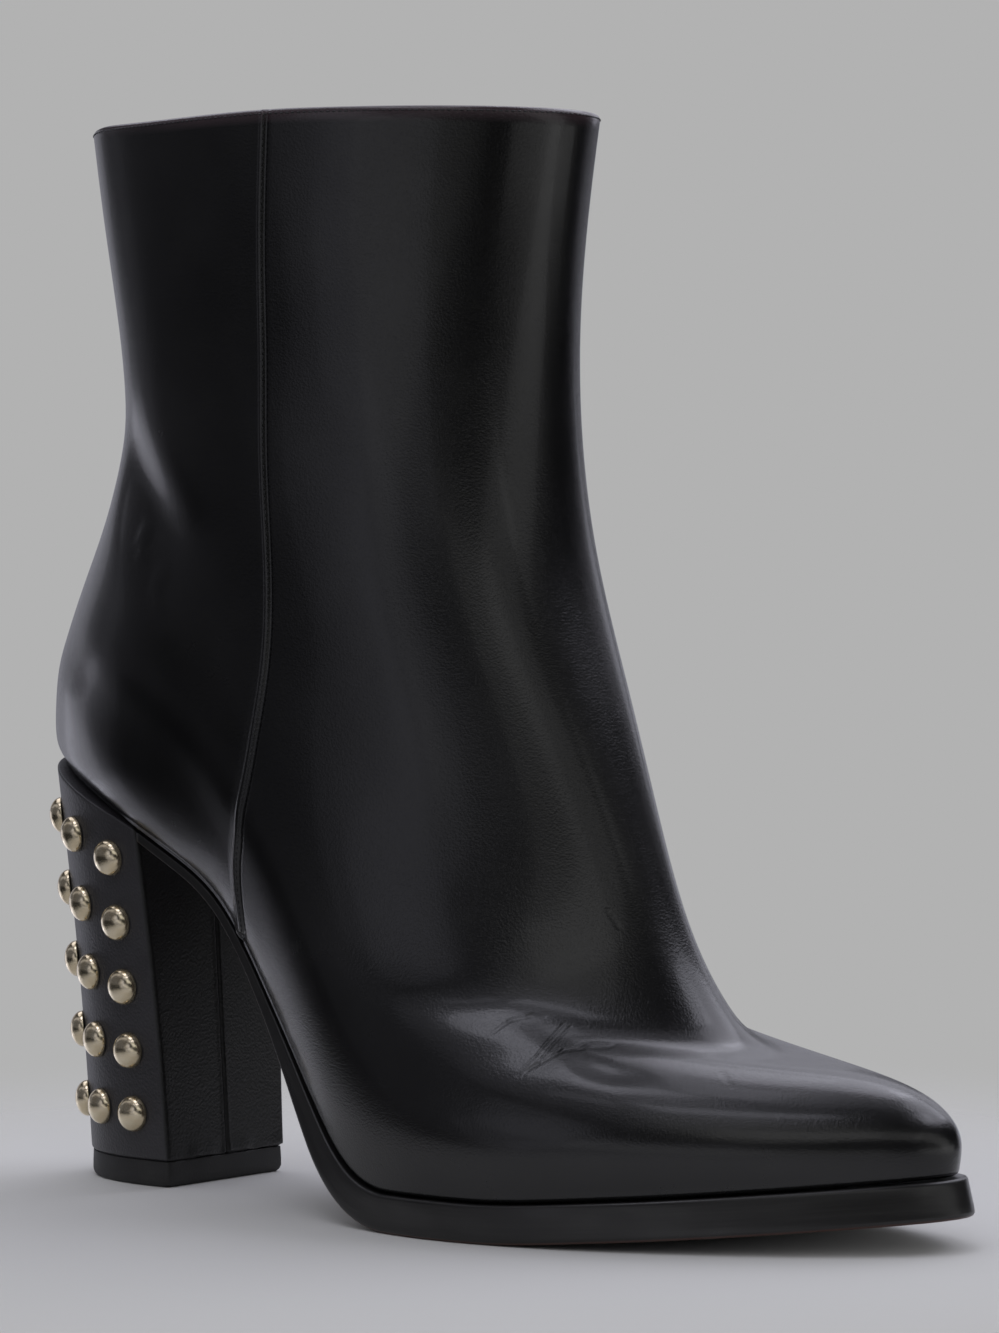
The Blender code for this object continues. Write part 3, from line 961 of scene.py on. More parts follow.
def add_mask(piece: bpy.types.Object, name: str, values: Array) -> None:
    """Stores a value for each point, which the finish reads.

    Args:
        piece: The piece.
        name: The mask's name.
        values: A value for each point.
    """
    layer = piece.data.attributes.new(name, "FLOAT", "POINT")
    layer.data.foreach_set("value", np.asarray(values, np.float32).ravel())


def finish_piece(
    piece: bpy.types.Object,
    material: bpy.types.Material,
    nodes: Sequence[str] = (),
) -> None:
    """Dresses a piece and fastens it to the boot.

    Args:
        piece: The piece.
        material: Its finish.
        nodes: Nodes that it stands for.
    """
    if not piece.data.materials:
        piece.data.materials.append(material)
    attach(piece, BODY)
    if nodes:
        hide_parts(*nodes)
    LOG.info("%s: %d faces", piece.name, len(piece.data.polygons))


@dataclass
class Loft:
    """A closed solid through rings from top to bottom, which start on their axis of symmetry."""

    name: str
    rings: list[Array]

    def build(self) -> bpy.types.Object:
        """Makes the object.

        Returns:
            The object.
        """
        columns = len(self.rings[0])
        last = (len(self.rings) - 1) * columns
        faces = [list(quad[::-1]) for quad in ring_quads(len(self.rings), columns)]
        faces += strip_cap(0, columns, downward=False)
        faces += strip_cap(last, columns, downward=True)
        return mesh_object(self.name, np.concatenate(self.rings), faces)


@dataclass
class Skin:
    """A grid of points, rows upwards by columns anticlockwise, closed round the columns."""

    points: Array

    def normals(self) -> Array:
        """Unit normals that point out of the boot."""
        around = np.roll(self.points, -1, axis=1) - np.roll(self.points, 1, axis=1)
        return unit(np.cross(around, np.gradient(self.points, axis=0)))

    def pushed(self, amount: Union[float, Array]) -> Array:
        """The points moved along their normals by this much."""
        return self.points + self.normals() * np.asarray(amount)[..., None]


class Side(Enum):
    """A side of the foot."""

    OUTER = -1
    INNER = 1


@dataclass(frozen=True)
class Crease:
    """A soft trough or ridge in the leather, along a line on one side of the boot.

    The line's points are x and z in millimetres, in the last's frame. A negative depth is a ridge.
    """

    path: tuple[tuple[float, float], ...]
    depth: float
    width: float
    side: Side = Side.OUTER
    lips: float = 0.35
    steps: int = 40
    reach: float = 6.0
    taper: float = 0.7

    def push(self, skin: Skin) -> Array:
        """How far the crease moves each point of a skin along its normal.

        Args:
            skin: The upper's skin.

        Returns:
            A distance for each point, in metres.
        """
        points = skin.points
        line = along(np.array(self.path) * MM, self._stops())
        on_side = points[..., 1] * self.side.value > 0
        candidates = points[on_side]
        flat = candidates[:, [0, 2]]
        spots = np.array([candidates[np.argmin(((flat - spot) ** 2).sum(1))] for spot in line])
        width = self.width * MM
        reach = self.reach * width
        push = np.zeros(points.shape[:2])
        low = spots.min(axis=0) - reach
        high = spots.max(axis=0) + reach
        near = np.all((points > low) & (points < high), axis=-1)
        apart = np.linalg.norm(points[near][:, None] - spots[None], axis=-1)
        trough = self._swell(apart, width, spots) - self.lips * self._swell(apart, 2 * width, spots)
        push[near] = -self.depth * MM * trough / (1 - self.lips)
        return push

    def _stops(self) -> Array:
        """Lengths along the path at which it is laid on the leather."""
        return np.linspace(0, arc_length(np.array(self.path) * MM)[-1], self.steps)

    def _swell(self, apart: Array, width: float, spots: Array) -> Array:
        """A soft wave along the crease, 1 at its middle.

        Args:
            apart: Distance of each point from each spot.
            width: Half width of the wave.
            spots: Spots along the crease.

        Returns:
            A share for each point.
        """
        fade = np.sin(np.pi * (np.arange(self.steps) + 0.5) / self.steps) ** self.taper
        gap = arc_length(spots)[-1] / (self.steps - 1)
        return (fade * np.exp(-((apart / width) ** 2))).sum(axis=1) * gap / (width * math.sqrt(math.pi))


CREASES = (
    Crease(((41.0, 166.0), (45.0, 158.0), (50.0, 150.0), (57.0, 143.0), (68.0, 137.0)), 2.7, 9.5, lips=0.1),
    Crease(((49.4, 146.0), (50.0, 141.0), (51.0, 136.0)), -0.35, 1.4),
    Crease(((57.4, 136.0), (57.3, 131.0), (57.6, 126.0)), -0.22, 1.4),
    Crease(((144.0, 43.8), (154.0, 43.4), (162.0, 43.0), (168.0, 42.5)), -0.5, 5.0, lips=0.1),
    Crease(((146.0, 38.5), (154.0, 37.2), (162.0, 36.4), (167.0, 36.0)), 0.4, 5.0, lips=0.1),
    Crease(((168.0, 37.0), (172.0, 35.8), (177.0, 34.6), (184.0, 34.0)), 0.28, 2.4),
    Crease(((40.0, 158.0), (54.0, 152.0), (66.0, 145.0)), 0.9, 5.5, Side.INNER, lips=0.2),
    Crease(((152.0, 36.0), (156.0, 42.0), (158.0, 48.0)), 0.22, 1.6, Side.INNER),
    Crease(((155.0, 35.0), (160.0, 40.0), (165.0, 43.0)), 0.18, 1.6, Side.INNER),
)


@dataclass
class StitchRow:
    """A row of thread stitches, each a small rounded bar, joined into one mesh."""

    name: str
    length: float = 0.00095
    radius: float = 0.00016
    sides: int = 6
    rings: int = 5

    def build(self, spots: Array, ahead: Array, out: Array) -> bpy.types.Object:
        """Makes the row.

        Args:
            spots: Middle of each stitch.
            ahead: Unit direction of each stitch.
            out: Unit direction out of the leather.

        Returns:
            The joined mesh object.
        """
        across = unit(np.cross(out, ahead))
        share = np.linspace(-1, 1, self.rings)
        swell = np.sqrt(np.clip(1 - (0.96 * share) ** 4, 0, 1))
        turn = np.linspace(0, 2 * np.pi, self.sides, endpoint=False)
        bars = []
        for place, size in zip(share, swell):
            middle = spots + ahead * (place * self.length / 2)
            for angle in turn:
                spoke = across * math.cos(angle) + out * math.sin(angle)
                bars.append(middle + spoke * (size * self.radius))
        points = np.stack(bars, axis=1)
        one = [list(quad) for quad in ring_quads(self.rings, self.sides)]
        one.append(list(range(self.sides))[::-1])
        one.append(list(range((self.rings - 1) * self.sides, self.rings * self.sides)))
        count = self.rings * self.sides
        faces = []
        for stitch in range(len(spots)):
            faces += [[corner + count * stitch for corner in face] for face in one]
        return mesh_object(self.name, points, faces)


# Sub-assemblies

@dataclass
class Upper:
    """The lasted upper: leather with its side seams and creases, lining, and stitches."""

    last: Last
    shift: Array
    wall: float = 0.002
    leather: float = 0.0011
    margin: float = 0.008
    rim: float = 0.001
    facing: float = 0.005
    seam_band: float = 0.0064
    seam_rise: float = 0.00042
    seam_groove: float = 0.00030
    fold_at_mm: float = -0.45
    fold_width_mm: float = 0.62
    shoulder_at_mm: float = -1.3
    shoulder_share: float = 0.4
    groove_at_mm: float = 0.55
    groove_width_mm: float = 0.5
    inner_columns: int = 104
    outer_columns: int = 220
    seam_columns: int = 22
    back_columns: int = 46
    rows: tuple[int, ...] = (6, 8, 9, 9, 10, 10, 12, 14, 12, 12, 12, 12, 12)
    fold_steps: int = 6
    rim_steps: int = 7
    inner_every: int = 3
    lining_gap: float = 0.00003
    facing_lining: float = 0.0006
    stitch_pitch: float = 0.00135
    collar_stitch_drop: float = 0.0019
    seam_stitch_ahead: float = 0.0001
    seam_stitch_from: int = 4
    seam_thread: float = 0.00014
    collar_swell: float = 0.0012
    collar_dip: float = 0.0006
    wave_from: float = 0.195
    swell_from: float = 0.050
    swell_to: float = 0.100
    dip_to: float = 0.020
    dip_from: float = 0.045
    edge_start: float = 1.3
    edge_fade_mm: float = 0.8
    outer_from: float = 0.002
    outer_to: float = 0.006
    flex_middle: tuple[float, float, float] = (0.159, -0.034, 0.039)
    flex_reach: tuple[float, float, float] = (0.016, 0.016, 0.011)
    creases: tuple[Crease, ...] = CREASES

    def columns(self, level: Level) -> Array:
        """A section in plan, each column on the same line of every section.

        Args:
            level: The section.

        Returns:
            A point in plan for each column.
        """
        back, front = self.last.level_ends(level)
        seam_x = back + level.seam * PERCENT * (front - back)
        inner, outer = self.last.level_sides(level)
        sides = []
        for line, first, second in (
            (inner, self.inner_columns, self.back_columns),
            (outer, self.back_columns, self.outer_columns),
        ):
            arc = arc_length(line)
            rising = 1 if line is outer else -1
            crest = np.interp(rising * seam_x, rising * line[:, 0], arc)
            near = crest - self.seam_band / 2
            far = crest + self.seam_band / 2
            stops = np.concatenate([
                np.linspace(0, near, first, endpoint=False),
                np.linspace(near, far, self.seam_columns, endpoint=False),
                np.linspace(far, arc[-1], second, endpoint=False),
            ])
            sides.append(along(line, stops))
        return np.vstack(sides)

    def seam_distance(self) -> Array:
        """How far each column lies in front of its side seam, within the seam's band.

        Returns:
            A distance for each column, negative behind the seam.
        """
        band = np.linspace(self.seam_band / 2, -self.seam_band / 2, self.seam_columns, endpoint=False)
        inner = np.full(self.inner_columns, self.seam_band)
        outer = np.full(self.outer_columns, self.seam_band)
        back = np.full(self.back_columns, -self.seam_band)
        return np.concatenate([inner, band, back, back, -band, outer])

    def seam_push(self) -> Array:
        """Height of the seam's profile over the wall: a rounded fold with a groove in front.

        Returns:
            A height for each column.
        """
        ahead = self.seam_distance() / MM
        fold = self.seam_rise * np.exp(-((ahead - self.fold_at_mm) / self.fold_width_mm) ** 4)
        shoulder = self.shoulder_share * self.seam_rise * np.exp(-((ahead - self.shoulder_at_mm) ** 2))
        groove = self.seam_groove * np.exp(-((ahead - self.groove_at_mm) / self.groove_width_mm) ** 2)
        return fold + shoulder - groove

    def bare_wall(self) -> Skin:
        """The wall from feather edge to just under the rim, with neither seams nor creases.

        Returns:
            The wall.
        """
        loops = []
        for level in LEVELS:
            plan = self.columns(level)
            loops.append(np.c_[plan, self.last.level_height(level, plan[:, 0])])
        loops = np.array(loops)
        climb = np.linalg.norm(np.diff(loops, axis=0), axis=2).mean(axis=1)
        knots = np.concatenate([[0], np.cumsum(climb)])
        stops = np.concatenate([[0], np.cumsum(self.rows)])
        at = np.interp(np.arange(stops[-1] + 1), stops, knots)
        at *= (knots[-1] - self.rim) / knots[-1]
        points = cubic(knots, loops, at)
        points[..., 2] += self.collar_wave(points)
        return Skin(points)

    def collar_wave(self, points: Array) -> Array:
        """How far the collar's edge is drawn up at the front and down at the back.

        Args:
            points: Points of the wall.

        Returns:
            A rise for each point.
        """
        x = points[..., 0]
        top = ease(points[..., 2], self.wave_from, self.last.collar_height)
        swell = self.collar_swell * ease(x, self.swell_from, self.swell_to)
        dip = self.collar_dip * (1 - ease(x, self.dip_to, self.dip_from))
        return top * (swell - dip)

    def crease_push(self, bare: Skin) -> Array:
        """How far the creases push each point of the bare wall outwards."""
        return sum((crease.push(bare) for crease in self.creases), np.zeros(bare.points.shape[:2]))

    def creased_wall(self) -> Skin:
        """The wall with its creases, without the seams."""
        bare = self.bare_wall()
        return Skin(bare.pushed(self.crease_push(bare)))

    def dressed_wall(self) -> Skin:
        """The wall with its seams and creases."""
        bare = self.bare_wall()
        return Skin(bare.pushed(self.seam_push() + self.crease_push(bare)))

    def fold_rows(self, wall: Skin) -> Array:
        """The turn of the leather under the feather edge.

        Args:
            wall: The dressed wall.

        Returns:
            The rows, from the margin's inner edge outwards.
        """
        base = wall.points[0]
        inward = -outward(base[:, :2])
        rows = []
        for inset in (self.margin, (self.margin + self.last.fold) / 2):
            turned = base[:, :2] + inset * inward
            rows.append(np.c_[turned, self.last.above_sole(turned[:, 0], self.last.gap)])
        for angle in np.linspace(np.pi / 2, 0, self.fold_steps, endpoint=False):
            turned = base[:, :2] + self.last.fold * (1 - math.cos(angle)) * inward
            rise = self.last.gap + self.last.fold * (1 - math.sin(angle))
            rows.append(np.c_[turned, self.last.above_sole(turned[:, 0], rise)])
        return np.array(rows)

    def rim_rows(self, wall: Skin) -> Array:
        """The rounded collar edge.

        Args:
            wall: The dressed wall.

        Returns:
            The rows, from the wall's top over to its inner face.
        """
        base = wall.points[-1]
        out = np.c_[outward(base[:, :2]), np.zeros(len(base))]
        rows = []
        for angle in np.linspace(0, np.pi, self.rim_steps + 1)[1:]:
            lift = np.array([0, 0, self.rim * math.sin(angle)])
            rows.append(base - out * self.rim * (1 - math.cos(angle)) + lift)
        return np.array(rows)

    def inner_rows(self, depth: float, facing_depth: float) -> Array:
        """Rows down the inside of the wall.

        Args:
            depth: How far inside the outer face.
            facing_depth: The same for the facing at the collar.

        Returns:
            The rows, from the collar down.
        """
        wall = self.creased_wall()
        heights = wall.points[-1, :, 2].mean() - wall.points[:, :, 2].mean(axis=1)
        inset = np.where(heights < self.facing, facing_depth, depth)
        inside = wall.points - wall.normals() * inset[:, None, None]
        rows = inside[::-1]
        keep = np.arange(len(rows)) % self.inner_every == 0
        step = np.flatnonzero(np.diff(inset[::-1]) != 0)
        keep[step] = True
        keep[step + 1] = True
        keep[-1] = True
        return rows[keep]

    def build_leather(self) -> bpy.types.Object:
        """Makes the leather as one closed shell.

        Returns:
            The leather's object.
        """
        wall = self.dressed_wall()
        fold = self.fold_rows(wall)
        rim = self.rim_rows(wall)
        inside = self.inner_rows(self.leather, self.wall)
        rows = np.concatenate([fold, wall.points, rim, inside[1:]])
        quads = ring_quads(len(rows), rows.shape[1], joined=True)
        leather = mesh_object("upper_leather", rows + self.shift, quads)
        row_number = np.arange(len(rows))
        top = len(fold) + len(wall.points)
        # The edge mask paints the collar's rounded edge lighter and purple: partly tint, partly painted
        # highlight.
        below_rim = (wall.points[-1, :, 2].mean() - rows[:, :, 2]) / MM
        edge_tint_and_highlight = np.clip(self.edge_start - below_rim / self.edge_fade_mm, 0, 1)
        add_mask(leather, "edge", edge_tint_and_highlight * (row_number < top + self.rim_steps)[:, None])
        add_mask(leather, "flex", self.flex(rows) * (row_number < top)[:, None])
        add_mask(leather, "outer", ease(-rows[..., 1], self.outer_from, self.outer_to))
        return leather

    def flex(self, rows: Array) -> Array:
        """How much the leather is wrinkled by walking: most over the outer flex line of the vamp.

        Args:
            rows: Points of the leather.

        Returns:
            A share for each point.
        """
        apart = np.linalg.norm((rows - self.flex_middle) / self.flex_reach, axis=-1)
        return np.exp(-(apart**2))

    def build_lining(self) -> bpy.types.Object:
        """Makes the lining as one closed shell inside the leather.

        Returns:
            The lining's object.
        """
        low = self.inner_rows(self.leather + self.lining_gap, self.wall + self.lining_gap)
        high = self.inner_rows(self.wall, self.wall + self.facing_lining)
        rows = np.concatenate([low[::-1], high])[:, ::2]
        quads = ring_quads(len(rows), rows.shape[1], joined=True)
        return mesh_object("upper_lining", rows + self.shift, quads)

    def stitch_line(self, line: Array, normals: Array) -> tuple[Array, Array, Array]:
        """Evenly spaced stitches along a line of the wall.

        Args:
            line: The line's points.
            normals: Normal of the wall at each of them.

        Returns:
            Middle, direction and outward direction of each stitch.
        """
        arc = arc_length(line)
        stops = np.arange(self.stitch_pitch, arc[-1], self.stitch_pitch)
        spots = along(line, stops)
        nudge = self.stitch_pitch / 4
        ahead = unit(along(line, stops + nudge) - along(line, stops - nudge))
        out = np.stack([np.interp(stops, arc, normals[:, axis]) for axis in range(3)], axis=1)
        return spots, ahead, unit(out)

    def build_stitches(self) -> list[bpy.types.Object]:
        """Makes the stitch rows under the collar and along the side seams.

        Returns:
            The rows' objects.
        """
        wall = self.dressed_wall()
        normals = wall.normals()
        drop = wall.points[-1, :, 2].mean() + self.rim - wall.points[:, :, 2].mean(axis=1)
        level = int(np.argmin(np.abs(drop - self.collar_stitch_drop)))
        ring = np.vstack([wall.points[level], wall.points[level, :1]])
        ring_out = np.vstack([normals[level], normals[level, :1]])
        made = [StitchRow("collar_stitches").build(*self.shifted(self.stitch_line(ring, ring_out)))]
        distance = self.seam_distance()
        turn = self.inner_columns + self.seam_columns + self.back_columns
        for name, low, high in (("inner", 0, turn), ("outer", turn, len(distance))):
            column = low + int(np.argmin(np.abs(distance[low:high] - self.seam_stitch_ahead)))
            line = wall.points[self.seam_stitch_from:, column]
            spots = self.stitch_line(line, normals[self.seam_stitch_from:, column])
            row = StitchRow(f"{name}_seam_stitches", radius=self.seam_thread)
            made.append(row.build(*self.shifted(spots)))
        return made

    def shifted(self, line: tuple[Array, Array, Array]) -> tuple[Array, Array, Array]:
        """A stitch line moved to the frame of the solids."""
        spots, ahead, out = line
        return spots + self.shift, ahead, out

    def build(self) -> None:
        """Makes and dresses the upper's pieces."""
        finish_piece(self.build_leather(), CalfFinish().material(self.shift), ["upper"])
        finish_piece(self.build_lining(), LiningFinish().material())
        thread = ThreadFinish().material()
        for row in self.build_stitches():
            finish_piece(row, thread)


@dataclass
class Insole:
    """The sock over the insole board, with its edge turned down."""

    last: Last
    shift: Array
    board: float = 0.0025
    inset: float = 0.0042
    lay: float = 0.0033
    crown: float = 0.0006
    count: int = 160

    def build(self) -> None:
        """Makes and dresses the sock."""
        rings = []
        for inset, rise in (
            (0.0190, self.board + self.crown),
            (0.0100, self.board + self.crown),
            (0.0022, self.board + 0.5 * self.crown),
            (0.0006, self.board - 0.0002),
            (0.0, self.board - 0.0008),
            (0.0, 0.0),
        ):
            reach = -(self.inset + inset)
            inner, outer = self.last.feather_sides(lambda x: np.full_like(x, reach), self.count)
            ring = np.vstack([inner, outer[-2:0:-1]])
            rings.append(np.c_[ring, self.last.above_sole(ring[:, 0], self.lay + rise)] + self.shift)
        lining = LiningFinish("boot_sock").material()
        finish_piece(Loft("sock", rings).build(), lining, ["insole"])


@dataclass
class Outsole:
    """The sole in front of the heel, with its rounded edge, toe ledge and thin waist."""

    last: Last
    shift: Array
    waist: float = 0.0021
    breast: float = 0.0019
    start: float = 0.0430
    break_from: float = 0.075
    break_to: float = 0.130
    tuck: float = 0.0002
    ledge_ball: float = 0.001
    ledge_toe: float = 0.0016
    toe_lean: float = 0.0011
    squaring: float = 0.010
    raw_from: float = 0.93
    raw_to: float = 0.985
    raw_fade: float = 0.6
    raw_fade_from: float = 0.99
    count: int = 240
    profile: tuple[tuple[float, float], ...] = (
        (0.000, 0.00140),
        (0.000, 0.00055),
        (0.020, 0.00022),
        (0.060, 0.00005),
        (0.110, 0.0),
        (0.300, 0.0),
        (0.500, 0.0),
        (0.700, 0.0),
        (0.850, 0.00002),
        (0.920, 0.00012),
        (0.970, 0.00040),
        (0.993, 0.00080),
        (1.000, 0.00130),
    )

    def thickness(self, x: Array) -> Array:
        """The sole's thickness at x."""
        thin = self.breast + (self.waist - self.breast) * ease(x, self.start, self.break_from)
        return thin + (self.last.forefoot_sole - self.waist) * ease(x, self.break_from, self.break_to)

    def ledge(self, x: Array, share: float) -> Array:
        """How far the edge stands outside the feather edge.

        Args:
            x: Places along the foot.
            share: Share of the edge's depth.

        Returns:
            A distance for each place.
        """
        forward = ease(x, self.break_to, self.last.length)
        forefoot = self.ledge_ball + (self.ledge_toe - self.ledge_ball + self.toe_lean * share) * forward
        return -self.tuck + (forefoot + self.tuck) * ease(x, self.break_from, self.break_to)

    def ring(self, share: float, inset: float) -> Array:
        """A ring round the sole's edge.

        Args:
            share: Depth of the ring, as a share of the sole's thickness.
            inset: How far inside the edge, at the forefoot's thickness.

        Returns:
            The ring's points, from the toe round the inner side.
        """
        def offset(x: Array) -> Array:
            """How far the ring lies outside the feather edge at x."""
            return self.ledge(x, share) - inset * self.thickness(x) / self.last.forefoot_sole

        inner, outer = self.last.feather_sides(offset, self.count, self.start)
        end = (inner[-1:] + outer[-1:]) / 2
        plan = np.vstack([inner, end, outer[:0:-1]])
        x = plan[:, 0]
        z, slope = self.last.sole_curve(x)
        depth = share * self.thickness(x) / np.sqrt(1 + slope**2)
        lean = ease(x, self.start, self.start + self.squaring)
        down = depth * ((1 + slope**2) * (1 - lean) + lean)
        return np.c_[x + depth * slope * lean, plan[:, 1], z - down]

    def rawness(self, share: float) -> float:
        """How bare the leather is at a share of the edge's depth: most just above the tread."""
        worn = ease(share, self.raw_from, self.raw_to)
        return worn * (1 - self.raw_fade * ease(share, self.raw_fade_from, 1.0))

    @staticmethod
    def run(ring: Array) -> Array:
        """Length along a ring from the toe, the same on both sides."""
        arc = arc_length(np.vstack([ring, ring[:1]]))
        return np.minimum(arc[:-1], arc[-1] - arc[:-1])

    def build(self) -> None:
        """Makes and dresses the sole."""
        rings = [self.ring(share, inset) + self.shift for share, inset in self.profile]
        shares = [share for share, _ in self.profile]
        sole = Loft("sole", rings).build()
        add_mask(sole, "raw", np.repeat([self.rawness(share) for share in shares], len(rings[0])))
        add_mask(sole, "run", np.concatenate([self.run(ring) for ring in rings]))
        depths = [share * self.thickness(ring[:, 0] - self.shift[0]) for share, ring in zip(shares, rings)]
        add_mask(sole, "deep", np.concatenate(depths))
        finish_piece(sole, SoleFinish().material(), ["outsole"])


class HeelSection(NamedTuple):
    """A section of the heel: up in % of its height, the rest in millimetres."""

    up: float
    breast: float
    back: float
    half: float


@dataclass
class Heel:
    """The covered block heel with its breast seam, and the rubber top piece under it."""

    last: Last
    shift: Array
    sections: tuple[HeelSection, ...] = (
        HeelSection(0.0, 46.8, 11.4, 19.5),
        HeelSection(45.0, 44.8, 8.4, 20.9),
        HeelSection(100.0, 42.4, 3.4, 25.0),
    )
    lift: float = 0.006
    lift_inset: float = 0.0004
    straight: float = 0.006
    corner: float = 0.0012
    levels: int = 60
    breast_points: int = 26
    corner_points: int = 7
    side_points: int = 10
    back_points: int = 46
    seam_depth: float = 0.00055
    seam_width: float = 0.00036
    seam_lip: float = 0.35
    seam_lip_at: float = 2.4
    pucker: float = 0.00016
    pucker_up: float = 0.05
    pucker_pitch: float = 0.0021
    pucker_fine_pitch: float = 0.0009
    pucker_fine: float = 0.6
    breast_spread: float = 1.6

    def outline(self, up: float, inset: float = 0.0) -> Array:
        """Plan of the heel, from the middle of the breast round the inner side.

        Args:
            up: Share of the heel's height.
            inset: How far inside the cover.

        Returns:
            The closed outline.
        """
        rows = np.array(self.sections)
        breast, back, half = cubic(rows[:, 0] * PERCENT, rows[:, 1:] * MM, [up])[0]
        breast -= inset
        back += inset
        half -= inset
        middle = breast - self.straight
        share = np.linspace(0, 1, self.breast_points, endpoint=False)
        across = (half - self.corner) * share**self.breast_spread
        face = np.c_[np.full_like(across, breast), across]
        turn = np.linspace(0, np.pi / 2, self.corner_points, endpoint=False)
        corner = np.c_[
            breast - self.corner * (1 - np.cos(turn)),
            half - self.corner * (1 - np.sin(turn)),
        ]
        run = np.linspace(breast - self.corner, middle, self.side_points, endpoint=False)
        side = np.c_[run, np.full_like(run, half)]
        sweep = np.linspace(0, np.pi / 2, self.back_points)
        end = np.c_[middle - (middle - back) * np.sin(sweep), half * np.cos(sweep)]
        first = np.vstack([face, corner, side, end])
        mirrored = first[-2:0:-1] * (1, -1)
        return np.vstack([first, mirrored])

    def height(self, x: Array, up: float) -> Array:
        """Height of the heel's section at x."""
        return self.lift + up * (self.last.above_sole(x) - self.lift)

    def ring(self, up: float, inset: float = 0.0) -> Array:
        """A ring round the heel at a share of its height."""
        plan = self.outline(up, inset)
        return np.c_[plan, self.height(plan[:, 0], up)]

    def breast_relief(self, ring: Array, up: float) -> Array:
        """The breast's seam and the puckered lower edge of the cover's flaps.

        Args:
            ring: A ring of the cover.
            up: Its share of the heel's height.

        Returns:
            The ring with its relief.
        """
        breast = ring[:, 0].max()
        on_face = np.clip(1 - (breast - ring[:, 0]) / self.corner, 0, 1)
        share = ring[:, 1] / self.seam_width
        lip = np.exp(-((np.abs(share) - self.seam_lip_at) ** 2))
        groove = np.exp(-(share**2)) - self.seam_lip * lip
        low = 1 - ease(up, 0.0, self.pucker_up)
        coarse = np.sin(ring[:, 1] / self.pucker_pitch)
        wave = coarse + self.pucker_fine * np.sin(ring[:, 1] / self.pucker_fine_pitch + 1.0)
        moved = ring.copy()
        moved[:, 0] -= self.seam_depth * groove * on_face
        moved[:, 0] += self.pucker * wave * low * on_face
        moved[:, 2] += self.pucker * wave * low * on_face
        return moved

    def build_cover(self) -> bpy.types.Object:
        """Makes the covered block.

        Returns:
            The cover's object.
        """
        edge = [(1.0, 0.0005), (0.9985, 0.0002), (0.996, 0.00005), (0.990, 0.0)]
        foot = [(0.008, 0.0), (0.004, 0.00004), (0.0015, 0.00015), (0.0, 0.0004), (-0.0034, 0.0006)]
        middle = [(up, 0.0) for up in np.linspace(0.980, 0.018, self.levels)]
        rings = [self.breast_relief(self.ring(up, inset), up) for up, inset in edge + middle + foot]
        cover = Loft("heel_cover", [ring + self.shift for ring in rings]).build()
        fronts = []
        for ring in rings:
            breast = ring[:, 0].max()
            fronts.append(ease(ring[:, 0], breast - self.corner, breast - self.corner / 2))
        # This mask marks the breast, which the cover's finish paints near black as painted shade.
        add_mask(cover, "breast", np.concatenate(fronts))
        return cover

    def build_top_piece(self) -> bpy.types.Object:
        """Makes the rubber top piece.

        Returns:
            Its object.
        """
        rings = []
        top = self.lift - self.last.gap
        for inset, z in (
            (0.0012, top),
            (0.0002, top),
            (0.00005, top - 0.0001),
            (0.0, top - 0.0003),
            (-0.0001, 0.0030),
            (-0.0001, 0.0014),
            (0.0002, 0.0006),
            (0.0006, 0.00015),
            (0.0013, 0.0),
        ):
            plan = self.outline(0.0, self.lift_inset + inset)
            rings.append(np.c_[plan, np.full(len(plan), z)] + self.shift)
        return Loft("top_lift", rings).build()

    def build(self) -> None:
        """Makes and dresses the heel's pieces."""
        finish_piece(self.build_cover(), CoverFinish().material(), ["heel"])
        finish_piece(self.build_top_piece(), RubberFinish().material(), ["top_piece"])


